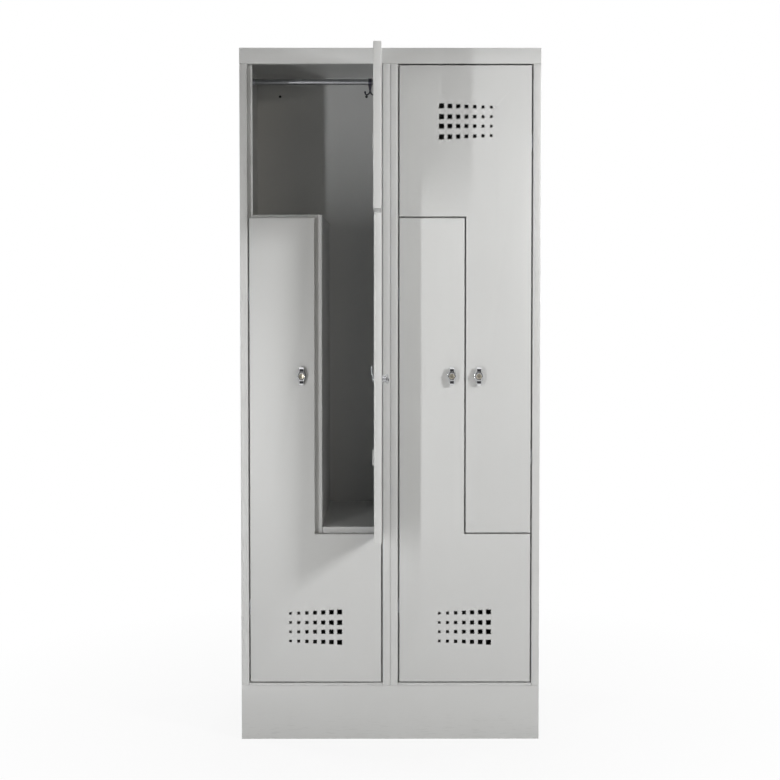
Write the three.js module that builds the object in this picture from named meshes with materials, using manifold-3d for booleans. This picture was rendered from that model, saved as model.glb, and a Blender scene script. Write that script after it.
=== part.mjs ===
// Z locker of folded sheet steel: two modules side by side, each with a lower and an upper
// L-shaped door, so that each of the four users gets a wide space and a tall narrow one.
// Millimetres. +X to the right, +Y to the back, +Z up, origin on the floor under the centre.
import * as THREE from "three";
import { mergeVertices } from "three/addons/utils/BufferGeometryUtils.js";
import Module from "manifold-3d";

const wasm = await Module();
wasm.setup();

// Cabinet
const moduleWidth = 400;
const cabinetDepth = 500;
const cabinetHeight = 1850;
const plinthHeight = 146;
const sheet = 1;
const bendRadius = 1;
const seat = 0.3;
const overrun = 2;

// Frame round the doors
const postFace = 20.5;
const topRailHeight = 42;
const bottomRailHeight = 6;
const doorGap = 4;
const rebateDepth = 22;
const strikeWidth = 12;
const floorRise = 14;
const railReturn = 18;
const railUpstand = 10;
const rearFlange = 16;
const panelFlange = 15;

// Plinth
const plinthFlange = 30;
const crossRailWidth = 60;
const crossRailFlange = 20;

// Back panel
const fixingHoleRadius = 3;
const fixingHoleInset = 70;
const fixingHoleDrop = 57;

// Partition between the two spaces of a module
const dividerFlange = 34;
const shelfFlange = 24;
const upperShelfRise = 8;
const lowerShelfRise = 14;

// Doors
const doorDepth = 20;
const doorWideHeight = 399.5;
const doorLip = 14;
const edgeRadius = 1.5;

// Vent holes of a door
const ventColumns = 7;
const ventPitch = 22;
const ventInset = 173.5;
const ventHeight = 148;
const ventLargest = 13.6;
const ventSmallest = 7.1;
const ventInnerRow = 12.5;
const ventOuterRow = 37.5;
const ventSpreadShare = 0.55;

// Hinges
const hingeInset = 204;
const hingeHeight = 41;
const axisInset = 1;
const axisDepth = 3.5;
const pinRadius = 1.25;
const pinPlay = 0.2;
const knuckleRadius = 2;
const earThickness = 2;
const earNoseRadius = 2.2;
const earDepth = 12;
const earTaper = 6;
const hingePlay = 0.6;
const leafThickness = 1;
const leafStart = 7.5;
const leafEnd = 20;
const notchWidth = 4.5;

// Stiffening channel on the hinge side of a door
const channelWidth = 26;
const lugStand = 6;
const lugReach = 14;

// Turn lock
const lockInset = 34;
const barrelRadius = 9;
const barrelLength = 15;
const barrelPlay = 0.3;
const rosetteRadius = 13;
const rosetteThickness = 2;
const lockNutRadius = 13;
const lockNutThickness = 4;
const spindleRadius = 5;
const spindlePlay = 0.3;
const squareSide = 6;
const squarePlay = 0.3;
const rivetRadius = 4.2;
const rivetThickness = 1.8;

// Grip of the lock
const gripStand = 16;
const gripLength = 48;
const gripWidth = 26;
const gripEndWidth = 13;
const gripFaceLength = 35;
const gripFaceWidth = 21;
const gripFaceEndWidth = 10;
const gripSlope = 4;
const gripNeck = 8.5;
const gripNeckRadius = 11.5;
const gripWaistRadius = 7;
const gripDishRadius = 7.5;
const gripDishDepth = 1.2;
const gripPocketStart = 12.5;
const gripPocketLength = 4;
const gripPocketWidth = 9;
const gripPocketDepth = 5;

// Cam of the lock
const camThickness = 2.5;
const camWidth = 12;
const camHubRadius = 9;
const camTipGap = 0.5;
const camClearance = 1.5;
const camCrankLength = 4;
const camSlotPlay = 1.5;

// Coat rails and hooks
const railRadius = 8;
const railDrop = 51;
const railWall = 1.5;
const socketFlangeRadius = 15;
const socketFlangeThickness = 2;
const socketWall = 1.8;
const socketLength = 17;
const hookInset = 55;
const hookClipWidth = 10;
const hookClipWall = 2;
const hookPlay = 0.4;
const hookWireRadius = 2.2;
const hookStem = 14;
const hookDrop = 26;
const hookSpread = 14;
const hookTipRise = 8;
const hookTipRadius = 3.2;

// Facets
const roundSides = 16;
const smallSides = 8;
const wireSides = 6;
const wireSteps = 5;
const tipRings = 4;
const barrelSides = 12;
const channelBendSteps = 1;
const bendSteps = 2;
const hexSides = 6;

const quarterTurn = Math.PI / 2;
const halfTurn = Math.PI;

// Places that follow from the sizes
const front = -cabinetDepth / 2;
const back = cabinetDepth / 2;
const carcassLow = plinthHeight + seat;
const openingLow = plinthHeight + bottomRailHeight;
const openingHigh = cabinetHeight - topRailHeight;
const doorFieldLow = openingLow + doorGap;
const doorFieldHigh = openingHigh - doorGap;
const doorWidth = moduleWidth - 2 * (postFace + doorGap);
const doorLegWidth = (doorWidth - doorGap) / 2;
const doorHeight = doorFieldHigh - doorFieldLow - doorWideHeight - doorGap;
const wallBack = back - sheet - seat;
const innerBack = wallBack - sheet - seat;
const strikeFace = front + rebateDepth;
const strikeEdge = postFace + strikeWidth;
const behindStrike = strikeFace + sheet + seat;
const wallTop = cabinetHeight - sheet - seat;
const ceiling = cabinetHeight - sheet;
const floorTop = openingLow + floorRise;
const lowSplit = doorFieldLow + doorWideHeight + doorGap / 2;
const highSplit = doorFieldHigh - doorWideHeight - doorGap / 2;
const upperShelfTop = highSplit + upperShelfRise;
const lowerShelfTop = lowSplit + lowerShelfRise;
const dividerRight = (moduleWidth + dividerFlange) / 2;
const dividerLeft = dividerRight - dividerFlange;
const lockHeight = (doorFieldHigh - doorFieldLow) / 2;
const lockAcross = doorLegWidth - lockInset;
const camReach = lockInset + doorGap / 2 - camTipGap;
const camHubDepth = doorDepth + seat;
const camArmDepth = rebateDepth + sheet + camClearance;
const camEnd = camArmDepth + camThickness;

// Finishes: one material for each mesh
const paint = { color: 0xc6c8c6, roughness: 0.45, metalness: 0 };
const innerPaint = { color: 0xb4b6b4, roughness: 0.5, metalness: 0 };
const chrome = { color: 0xd8d8dc, roughness: 0.12, metalness: 1 };
const zinc = { color: 0xb9bbbd, roughness: 0.4, metalness: 1 };

// Geometry to and from solids
function solidOf(geometry) {
  const bare = geometry.index ? geometry.toNonIndexed() : geometry.clone();
  bare.deleteAttribute("normal");
  bare.deleteAttribute("uv");
  const merged = mergeVertices(bare);
  return new wasm.Manifold(
    new wasm.Mesh({
      numProp: 3,
      vertProperties: new Float32Array(merged.attributes.position.array),
      triVerts: new Uint32Array(merged.index.array),
    }),
  );
}

function pieceOf(name, solid, finish) {
  const { numProp, vertProperties, triVerts } = solid.getMesh();
  const corners = new Float32Array((vertProperties.length / numProp) * 3);
  for (let i = 0; i * numProp < vertProperties.length; i += 1) {
    const start = i * numProp;
    corners.set(vertProperties.subarray(start, start + 3), i * 3);
  }
  const geometry = new THREE.BufferGeometry();
  geometry.setAttribute("position", new THREE.BufferAttribute(corners, 3));
  geometry.setIndex(new THREE.BufferAttribute(new Uint32Array(triVerts), 1));
  geometry.computeVertexNormals();
  const piece = new THREE.Mesh(geometry, new THREE.MeshStandardMaterial(finish));
  piece.name = name;
  return piece;
}

const joined = (solids) => solids.reduce((sum, next) => sum.add(next));

const points = (pairs) => pairs.map(([a, b]) => new THREE.Vector2(a, b));

function shapeOf(outline, holes = []) {
  const shape = new THREE.Shape(outline);
  shape.holes = holes.map((hole) => new THREE.Path(hole));
  return shape;
}

// Extrusions along each axis; the outline of alongX is (y, z) and that of alongY is (x, z)
function extruded(outline, holes, low, high, basis) {
  const geometry = new THREE.ExtrudeGeometry(shapeOf(outline, holes), {
    depth: high - low,
    bevelEnabled: false,
  });
  return solidOf(geometry.applyMatrix4(basis));
}

function alongX(outline, low, high, holes = []) {
  const basis = new THREE.Matrix4().makeBasis(
    new THREE.Vector3(0, 1, 0),
    new THREE.Vector3(0, 0, 1),
    new THREE.Vector3(1, 0, 0),
  );
  return extruded(outline, holes, low, high, basis.setPosition(low, 0, 0));
}

function alongY(outline, low, high, holes = []) {
  const basis = new THREE.Matrix4().makeRotationX(quarterTurn);
  return extruded(outline, holes, low, high, basis.setPosition(0, high, 0));
}

function alongZ(outline, low, high, holes = []) {
  const basis = new THREE.Matrix4().makeTranslation(0, 0, low);
  return extruded(outline, holes, low, high, basis);
}

const rectangle = (left, right, low, high) =>
  points([
    [left, low],
    [right, low],
    [right, high],
    [left, high],
  ]);

const block = (left, right, near, far, low, high) =>
  alongZ(rectangle(left, right, near, far), low, high);

function circle(across, up, radius, sides) {
  return Array.from({ length: sides }, (_, i) => {
    const angle = ((i + 0.5) * 2 * Math.PI) / sides;
    return new THREE.Vector2(
      across + radius * Math.cos(angle),
      up + radius * Math.sin(angle),
    );
  });
}

// A solid of revolution about its own +Y axis, from (radius, height) pairs
function turned(pairs, sides) {
  return new THREE.LatheGeometry(points(pairs), sides);
}

// The outline of a sheet folded along a path, with its thickness to the left of the path
function foldedSheet(pairs, steps = bendSteps) {
  const path = points(pairs);
  const leftOf = (along) => new THREE.Vector2(-along.y, along.x);
  const near = [];
  const far = [];
  path.forEach((corner, i) => {
    const before = path[i - 1];
    const after = path[i + 1];
    if (!before || !after) {
      const along = after ? after.clone().sub(corner) : corner.clone().sub(before);
      const across = leftOf(along.normalize()).multiplyScalar(sheet);
      near.push(corner.clone());
      far.push(corner.clone().add(across));
      return;
    }
    const arriving = corner.clone().sub(before).normalize();
    const leaving = after.clone().sub(corner).normalize();
    const side = Math.sign(arriving.cross(leaving));
    const turn = Math.acos(arriving.dot(leaving));
    const nearRadius = side > 0 ? bendRadius + sheet : bendRadius;
    const farRadius = side > 0 ? bendRadius : bendRadius + sheet;
    const centre = corner
      .clone()
      .sub(arriving.clone().multiplyScalar(nearRadius * Math.tan(turn / 2)))
      .add(leftOf(arriving).multiplyScalar(side * nearRadius));
    for (let step = 0; step <= steps; step += 1) {
      const spoke = leftOf(arriving)
        .multiplyScalar(-side)
        .rotateAround(new THREE.Vector2(), (side * turn * step) / steps);
      near.push(centre.clone().add(spoke.clone().multiplyScalar(nearRadius)));
      far.push(centre.clone().add(spoke.clone().multiplyScalar(farRadius)));
    }
  });
  return [...near, ...far.reverse()];
}

// A right-angled outline, given anticlockwise, moved inwards
function inset(outline, distance) {
  return outline.map((corner, i) => {
    const before = outline[(i + outline.length - 1) % outline.length];
    const after = outline[(i + 1) % outline.length];
    const arriving = corner.clone().sub(before).normalize();
    const leaving = after.clone().sub(corner).normalize();
    return new THREE.Vector2(
      corner.x - (arriving.y + leaving.y) * distance,
      corner.y + (arriving.x + leaving.x) * distance,
    );
  });
}

// A pan with its face at y = 0, returns all round and, where lip is not zero, a lip behind
function pan(outline, depth, lip) {
  const geometry = new THREE.ExtrudeGeometry(shapeOf(outline), {
    depth: depth - 2 * edgeRadius,
    bevelEnabled: true,
    bevelThickness: edgeRadius,
    bevelSize: edgeRadius,
    bevelOffset: -edgeRadius,
    bevelSegments: bendSteps,
  });
  geometry.rotateX(quarterTurn);
  geometry.translate(0, depth - edgeRadius, 0);
  const hollowEnd = lip ? depth - sheet : depth + overrun;
  const shell = solidOf(geometry).subtract(
    alongY(inset(outline, sheet), sheet, hollowEnd),
  );
  if (!lip) return shell;
  return shell.subtract(
    alongY(inset(outline, lip), depth - sheet - seat, depth + overrun),
  );
}

// Plinth: pan-shaped front and back boards, side boards between them, one rail across the floor
function plinth() {
  const group = new THREE.Group();
  const board = pan(
    rectangle(-moduleWidth, moduleWidth, 0, plinthHeight),
    plinthFlange,
    0,
  );
  const frontBoard = pieceOf("plinth_front_board", board, paint);
  frontBoard.position.y = front;
  const backBoard = pieceOf("plinth_back_board", board, paint);
  backBoard.position.y = back;
  backBoard.rotation.z = halfTurn;
  group.add(frontBoard, backBoard);

  const sideLow = front + plinthFlange + seat;
  const sideHigh = -sideLow;
  for (const [name, side] of [["left", -1], ["right", 1]]) {
    const channel = foldedSheet([
      [plinthFlange - moduleWidth, plinthHeight],
      [-moduleWidth, plinthHeight],
      [-moduleWidth, 0],
      [plinthFlange - moduleWidth, 0],
    ]);
    const placed = channel.map(({ x, y }) => new THREE.Vector2(-side * x, y));
    const solid = alongY(placed, sideLow, sideHigh);
    group.add(pieceOf(`plinth_${name}_board`, solid, paint));
  }

  const half = crossRailWidth / 2;
  const rail = foldedSheet([
    [-half - crossRailFlange, plinthHeight - sheet],
    [-half, plinthHeight - sheet],
    [-half, 0],
    [half, 0],
    [half, plinthHeight - sheet],
    [half + crossRailFlange, plinthHeight - sheet],
  ]);
  group.add(pieceOf("plinth_cross_rail", alongY(rail, sideLow, sideHigh), paint));
  return group;
}

// Side wall folded at its front into a post and a strike, and at its back into a flange.
// It is drawn for the left of a module; outer is where its outside lies.
function sideWall(outer, mirrored, low) {
  const place = (outline) =>
    outline.map(({ x, y }) =>
      new THREE.Vector2(low + (mirrored ? moduleWidth - x : x), y),
    );
  const profile = foldedSheet([
    [rearFlange, wallBack],
    [outer, wallBack],
    [outer, front],
    [postFace, front],
    [postFace, strikeFace],
    [strikeEdge, strikeFace],
  ]);
  const upper = foldedSheet([
    [rearFlange, wallBack],
    [outer, wallBack],
    [outer, front + railReturn + seat],
  ]);
  return joined([
    alongZ(place(profile), carcassLow, openingHigh - seat),
    alongZ(place(upper), openingHigh - seat - overrun, wallTop),
  ]);
}

// Floor of a module, with the low rail and the strike folded at its front
function basePanel(left, right, low) {
  const span = (margin) => [low + margin, low + moduleWidth - margin];
  const [strikeLeft, strikeRight] = span(strikeEdge + seat);
  const [railLeft, railRight] = span(postFace + seat);
  const profile = foldedSheet([
    [innerBack, floorTop - panelFlange],
    [innerBack, floorTop],
    [strikeFace, floorTop],
    [strikeFace, openingLow],
    [front, openingLow],
    [front, carcassLow],
  ]);
  const rail = foldedSheet([
    [strikeFace - bendRadius - seat, openingLow],
    [front, openingLow],
    [front, carcassLow],
  ]);
  const flangeLow = floorTop - panelFlange;
  const panelEnd = innerBack - sheet;
  return joined([
    alongX(profile, strikeLeft, strikeRight),
    alongX(rail, railLeft, railRight),
    block(left, right, behindStrike, innerBack, floorTop - sheet, floorTop),
    block(left, left + sheet, behindStrike, panelEnd, flangeLow, floorTop),
    block(right - sheet, right, behindStrike, panelEnd, flangeLow, floorTop),
  ]);
}

// Shelf with a front flange, side flanges and a back flange, all folded down
function shelf(left, right, flangeLeft, flangeRight, top) {
  const profile = foldedSheet([
    [innerBack, top - panelFlange],
    [innerBack, top],
    [strikeFace, top],
    [strikeFace, top - shelfFlange],
  ]);
  const low = top - panelFlange;
  return joined([
    alongX(profile, flangeLeft, flangeRight),
    block(left, right, behindStrike, innerBack, top - sheet, top),
    block(left, left + sheet, behindStrike, innerBack - sheet, low, top),
    block(right - sheet, right, behindStrike, innerBack - sheet, low, top),
  ]);
}

// Upright of the partition: its wide front flange is the strike of both doors, and a slot
// behind the flange lets the cam of the upper door through. Its back flange stops at the shelf.
function divider(low) {
  const profile = foldedSheet([
    [low + dividerLeft, strikeFace],
    [low + dividerRight, strikeFace],
    [low + dividerRight, innerBack],
    [low + dividerRight - panelFlange, innerBack],
  ]);
  const across = moduleWidth / 2 + doorGap / 2 + lockInset - dividerRight;
  const tip = Math.hypot(camReach, camWidth / 2);
  const rise = Math.sqrt(tip ** 2 - across ** 2) + camSlotPlay;
  const lockLevel = doorFieldLow + lockHeight;
  const slot = block(
    low + dividerRight - sheet - overrun,
    low + dividerRight + overrun,
    behindStrike,
    front + camEnd + camSlotPlay,
    lockLevel - camWidth / 2 - camSlotPlay,
    lockLevel + rise,
  );
  const notch = block(
    low + dividerRight - panelFlange - overrun,
    low + dividerRight - sheet,
    innerBack - sheet - bendRadius,
    innerBack + overrun,
    upperShelfTop - panelFlange - seat,
    upperShelfTop + overrun,
  );
  const upright = alongZ(profile, lowerShelfTop - shelfFlange, upperShelfTop);
  return upright.subtract(slot.add(notch));
}

// Top panel with the high front rail folded down, its open ends closed by small plates, and a
// short flange down behind each module
function topPanel() {
  const profile = foldedSheet([
    [back, cabinetHeight],
    [front, cabinetHeight],
    [front, openingHigh],
    [front + railReturn, openingHigh],
    [front + railReturn, openingHigh + railUpstand],
  ]);
  const flanges = [-moduleWidth, 0].map((low) =>
    block(
      low + rearFlange + bendRadius,
      low + moduleWidth - rearFlange - bendRadius,
      innerBack - sheet,
      innerBack,
      ceiling - panelFlange,
      cabinetHeight - sheet / 2,
    ),
  );
  const ends = [-moduleWidth, moduleWidth - sheet].map((low) =>
    block(
      low,
      low + sheet,
      front + edgeRadius,
      front + railReturn,
      openingHigh + edgeRadius,
      cabinetHeight - edgeRadius,
    ),
  );
  return joined([alongX(profile, -moduleWidth, moduleWidth), ...flanges, ...ends]);
}

// Back panel with two fixing holes near its top
function backPanel(left, right) {
  const holeHeight = cabinetHeight - fixingHoleDrop;
  const holes = [left + fixingHoleInset, right - fixingHoleInset].map((across) =>
    circle(across, holeHeight, fixingHoleRadius, smallSides),
  );
  return alongY(rectangle(left, right, carcassLow, wallTop), back - sheet, back, holes);
}

// Coat rails: the long one ends in two sockets, the short one has its end plates welded on
const acrossX = new THREE.Matrix4().makeRotationZ(-quarterTurn);

function socket() {
  const bore = railRadius + seat;
  const outside = bore + socketWall;
  const profile = [
    [0, 0],
    [socketFlangeRadius, 0],
    [socketFlangeRadius, socketFlangeThickness],
    [outside, socketFlangeThickness],
    [outside, socketLength],
    [bore, socketLength],
    [bore, socketFlangeThickness],
    [0, socketFlangeThickness],
  ];
  return solidOf(turned(profile, barrelSides).applyMatrix4(acrossX));
}

function longRail(length) {
  const bore = railRadius - railWall;
  const profile = [
    [bore, 0],
    [railRadius, 0],
    [railRadius, length],
    [bore, length],
    [bore, 0],
  ];
  return solidOf(turned(profile, roundSides).applyMatrix4(acrossX));
}

function shortRail(length) {
  const plate = socketFlangeThickness;
  const profile = [
    [0, 0],
    [socketFlangeRadius, 0],
    [socketFlangeRadius, plate],
    [railRadius, plate],
    [railRadius, length - plate],
    [socketFlangeRadius, length - plate],
    [socketFlangeRadius, length],
    [0, length],
  ];
  return solidOf(turned(profile, roundSides).applyMatrix4(acrossX));
}

// Double coat hook: a clip round the rail, a stem and two curved prongs
function wire(curve) {
  const section = new THREE.Shape(circle(0, 0, hookWireRadius, wireSides));
  return solidOf(
    new THREE.ExtrudeGeometry(section, {
      steps: wireSteps,
      bevelEnabled: false,
      extrudePath: curve,
    }),
  );
}

function coatHook() {
  const bore = railRadius + hookPlay;
  const outside = bore + hookClipWall;
  const half = hookClipWidth / 2;
  const clipProfile = [
    [bore, -half],
    [outside, -half],
    [outside, half],
    [bore, half],
    [bore, -half],
  ];
  const clip = solidOf(turned(clipProfile, roundSides).applyMatrix4(acrossX));
  const stemTop = -bore - hookClipWall / 2;
  const stemEnd = -outside - hookStem;
  const stem = alongY(
    points([
      [-half, stemTop],
      [-hookWireRadius, stemEnd],
      [hookWireRadius, stemEnd],
      [half, stemTop],
    ]),
    -hookWireRadius,
    hookWireRadius,
  );
  const low = -outside - hookDrop;
  const prongs = [-1, 1].map((side) => {
    const curve = new THREE.CubicBezierCurve3(
      new THREE.Vector3(0, 0, stemEnd + hookWireRadius),
      new THREE.Vector3(0, 0, low),
      new THREE.Vector3(side * hookSpread, 0, low - hookTipRise / 2),
      new THREE.Vector3(side * hookSpread, 0, low + hookTipRise),
    );
    const tip = new THREE.SphereGeometry(hookTipRadius, wireSides, tipRings);
    tip.translate(side * hookSpread, 0, low + hookTipRise);
    return wire(curve).add(solidOf(tip));
  });
  return joined([clip, stem, ...prongs]);
}

// One door lies in its own frame: x from the hinge edge inwards, y back from its outer face,
// z from the end of its wide part. The upper door is the lower one turned half round.
const doorOutline = points([
  [0, 0],
  [doorWidth, 0],
  [doorWidth, doorWideHeight],
  [doorLegWidth, doorWideHeight],
  [doorLegWidth, doorHeight],
  [0, doorHeight],
]);
const hingeLevels = [hingeInset, doorHeight - hingeInset];
const earTop = hingeHeight / 2 - hingePlay;

function ventHoles() {
  const holes = [];
  for (let column = 0; column < ventColumns; column += 1) {
    const share = column / (ventColumns - 1);
    const side = ventSmallest + (ventLargest - ventSmallest) * share;
    const across = ventInset + (column - (ventColumns - 1) / 2) * ventPitch;
    const outerRow = ventOuterRow + ventSpreadShare * (side - ventSmallest);
    for (const row of [-outerRow, -ventInnerRow, ventInnerRow, outerRow]) {
      const up = ventHeight + row;
      holes.push(
        block(
          across - side / 2,
          across + side / 2,
          -overrun,
          sheet + overrun,
          up - side / 2,
          up + side / 2,
        ),
      );
    }
  }
  return holes;
}

function doorTray() {
  const lockHole = circle(
    lockAcross,
    lockHeight,
    barrelRadius + barrelPlay,
    roundSides,
  );
  const notches = hingeLevels.map((level) =>
    block(
      -overrun,
      notchWidth,
      sheet,
      doorDepth + overrun,
      level - hingeHeight / 2 - hingePlay,
      level + hingeHeight / 2 + hingePlay,
    ),
  );
  const cuts = [
    ...ventHoles(),
    alongY(lockHole, -overrun, sheet + overrun),
    ...notches,
  ];
  return pan(doorOutline, doorDepth, doorLip).subtract(joined(cuts));
}

// Channel with two ears for each hinge pin and a lug that stands behind the door's back
function hingeChannel() {
  const inside = sheet + seat;
  const channelEnd = doorDepth - sheet - seat;
  const path = [
    [inside, channelEnd],
    [inside, inside],
    [channelWidth, inside],
    [channelWidth, channelEnd],
  ];
  const profile = foldedSheet(path, channelBendSteps);
  let channel = alongZ(profile, inside, doorHeight - inside);
  for (const level of hingeLevels) {
    const low = level - hingeHeight / 2 - hingePlay;
    const high = level + hingeHeight / 2 + hingePlay;
    channel = channel.subtract(block(-overrun, notchWidth, 0, doorDepth, low, high));
    const nose = circle(axisInset, axisDepth, earNoseRadius, smallSides);
    const web = points([
      [axisInset, axisDepth - earNoseRadius],
      [channelWidth - sheet / 2, axisDepth - earNoseRadius],
      [channelWidth - sheet / 2, earDepth],
      [earTaper, earDepth],
      [axisInset, axisDepth + earNoseRadius],
    ]);
    const bore = circle(axisInset, axisDepth, pinRadius + pinPlay, smallSides);
    for (const side of [-1, 1]) {
      const outer = level + side * earTop;
      const inner = outer - side * earThickness;
      const bottom = Math.min(outer, inner);
      const top = Math.max(outer, inner);
      const ear = alongZ(nose, bottom, top)
        .add(alongZ(web, bottom, top))
        .subtract(alongZ(bore, bottom - overrun, top + overrun));
      channel = channel.add(ear);
    }
    const lugPath = [
      [channelWidth - lugReach, doorDepth + lugStand - sheet],
      [channelWidth - sheet, doorDepth + lugStand - sheet],
      [channelWidth - sheet, channelEnd - overrun],
    ];
    const lug = foldedSheet(lugPath, channelBendSteps);
    const lugLow = level - hingeHeight / 2;
    channel = channel.add(alongZ(lug, lugLow, lugLow + hingeHeight));
  }
  return channel;
}

// Hinge bracket on the post: a leaf on the post's inner face, a cranked web and the pin
function hingeBracket(level) {
  const half = hingeHeight / 2;
  const knuckleHalf = earTop - earThickness - hingePlay;
  const pin = alongZ(
    circle(axisInset, axisDepth, pinRadius, smallSides),
    level - half,
    level + half,
  );
  const knuckle = circle(axisInset, axisDepth, knuckleRadius, smallSides);
  const web = points([
    [axisInset - leafThickness / 2, axisDepth],
    [axisInset + leafThickness / 2, axisDepth],
    [axisInset + leafThickness / 2, leafStart + leafThickness],
    [axisInset - leafThickness / 2, leafStart + leafThickness],
  ]);
  const leafOuter = seat - doorGap;
  const step = rectangle(
    leafOuter,
    axisInset + leafThickness / 2,
    leafStart,
    leafStart + leafThickness,
  );
  const leaf = rectangle(leafOuter, leafOuter + leafThickness, leafStart, leafEnd);
  const flats = [knuckle, web, step, leaf].map((outline) =>
    alongZ(outline, level - knuckleHalf, level + knuckleHalf),
  );
  return joined([pin, ...flats]);
}

// Lock housing: rosette, barrel through the door and a hexagonal nut behind it
function lockHousing() {
  const bore = spindleRadius + spindlePlay;
  const faceSide = -seat - rosetteThickness;
  const profile = [
    [bore, faceSide],
    [rosetteRadius - edgeRadius, faceSide],
    [rosetteRadius, faceSide + edgeRadius],
    [rosetteRadius, -seat],
    [barrelRadius, -seat],
    [barrelRadius, barrelLength],
    [bore, barrelLength],
    [bore, faceSide],
  ];
  const body = solidOf(turned(profile, barrelSides));
  const nut = alongY(
    circle(0, 0, lockNutRadius, hexSides),
    sheet + seat,
    sheet + seat + lockNutThickness,
    [circle(0, 0, (bore + barrelRadius) / 2, barrelSides)],
  );
  return body.add(nut);
}

// Six corners of a bar that is widest in its middle, at one depth
function sixCorners(length, width, endWidth, depth) {
  return [
    [-endWidth / 2, depth, -length / 2],
    [endWidth / 2, depth, -length / 2],
    [width / 2, depth, 0],
    [endWidth / 2, depth, length / 2],
    [-endWidth / 2, depth, length / 2],
    [-width / 2, depth, 0],
  ];
}

// Grip with its neck and spindle: a six-sided bar whose sides and ends slope in to its face,
// with a dish in its middle and a slot near each end, on a neck with a narrow waist. A square
// and a rivet head at the back carry the cam.
function lockGrip() {
  const rosetteFace = -seat - rosetteThickness;
  const neckEnd = rosetteFace - seat;
  const gripBack = neckEnd - gripNeck;
  const gripFace = rosetteFace - gripStand;
  const bar = wasm.Manifold.hull([
    ...sixCorners(gripLength, gripWidth, gripEndWidth, gripBack),
    ...sixCorners(gripLength, gripWidth, gripEndWidth, gripFace + gripSlope),
    ...sixCorners(gripFaceLength, gripFaceWidth, gripFaceEndWidth, gripFace),
  ]);
  const pockets = [-1, 1].map((side) => {
    const inner = side * gripPocketStart;
    const outer = inner + side * gripPocketLength;
    return block(
      -gripPocketWidth / 2,
      gripPocketWidth / 2,
      gripFace - overrun,
      gripFace + gripPocketDepth,
      Math.min(outer, inner),
      Math.max(outer, inner),
    );
  });
  const dish = alongY(
    circle(0, 0, gripDishRadius, barrelSides),
    gripFace - overrun,
    gripFace + gripDishDepth,
  );
  const squareStart = camHubDepth - seat;
  const squareEnd = camHubDepth + camThickness + seat;
  const spindleProfile = [
    [0, gripBack - seat],
    [gripNeckRadius, gripBack - seat],
    [gripNeckRadius, gripBack],
    [gripWaistRadius, (gripBack + neckEnd) / 2],
    [gripNeckRadius, neckEnd],
    [spindleRadius, neckEnd],
    [spindleRadius, squareStart],
    [0, squareStart],
  ];
  const spindle = solidOf(turned(spindleProfile, barrelSides));
  const square = block(
    -squareSide / 2,
    squareSide / 2,
    squareStart - overrun,
    squareEnd + overrun / 2,
    -squareSide / 2,
    squareSide / 2,
  );
  const rivet = alongY(
    circle(0, 0, rivetRadius, smallSides),
    squareEnd,
    squareEnd + rivetThickness,
  );
  return bar
    .subtract(joined([...pockets, dish]))
    .add(joined([spindle, square, rivet]));
}

// Cranked cam, pointing up at rest: a hub on the square and an arm that lies further back
function lockCam() {
  const crankStart = camHubRadius;
  const crankEnd = camHubRadius + camCrankLength;
  const side = points([
    [camHubDepth, -camHubRadius],
    [camHubDepth + camThickness, -camHubRadius],
    [camHubDepth + camThickness, crankStart],
    [camEnd, crankEnd],
    [camEnd, camReach],
    [camArmDepth, camReach],
    [camArmDepth, crankEnd],
    [camHubDepth, crankStart],
  ]);
  const half = camWidth / 2;
  const plan = joined([
    alongY(circle(0, 0, camHubRadius, roundSides), 0, camEnd + overrun),
    block(-half, half, 0, camEnd + overrun, 0, camReach - half),
    alongY(circle(0, camReach - half, half, roundSides), 0, camEnd + overrun),
  ]);
  const hole = squareSide / 2 + squarePlay;
  return alongX(side, -camHubRadius, camHubRadius)
    .intersect(plan)
    .subtract(block(-hole, hole, 0, camEnd + overrun, -hole, hole));
}

// A door hung in its module. Turned is true for the upper door; angle is how far it stands open.
function door(name, low, isTurned, angle) {
  const half = isTurned ? halfTurn : 0;
  const edge = low + (isTurned ? moduleWidth - postFace - doorGap : postFace + doorGap);
  const side = isTurned ? -1 : 1;
  const level = isTurned ? doorFieldHigh : doorFieldLow;

  const swing = new THREE.Group();
  swing.position.set(edge + side * axisInset, front + axisDepth, 0);
  swing.rotation.z = -side * angle;
  const leaf = new THREE.Group();
  leaf.position.set(-side * axisInset, -axisDepth, level);
  leaf.rotation.y = half;
  leaf.add(pieceOf(`${name}_door_tray`, doorTray(), paint));
  leaf.add(pieceOf(`${name}_door_hinge_channel`, hingeChannel(), innerPaint));

  const lock = new THREE.Group();
  lock.position.set(lockAcross, 0, lockHeight);
  lock.rotation.y = half;
  lock.add(pieceOf(`${name}_lock_housing`, lockHousing(), chrome));
  const grip = pieceOf(`${name}_lock_grip`, lockGrip(), chrome);
  grip.rotation.y = angle;
  lock.add(grip);
  lock.add(pieceOf(`${name}_lock_cam`, lockCam(), zinc));
  leaf.add(lock);
  swing.add(leaf);

  const fixed = new THREE.Group();
  fixed.position.set(edge, front, level);
  fixed.rotation.y = half;
  hingeLevels.forEach((height, i) => {
    const order = isTurned ? hingeLevels.length - i : i + 1;
    const place = order === 1 ? "low" : "high";
    fixed.add(pieceOf(`${name}_${place}_hinge`, hingeBracket(height), zinc));
  });

  const group = new THREE.Group();
  group.add(swing, fixed);
  return group;
}

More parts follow.
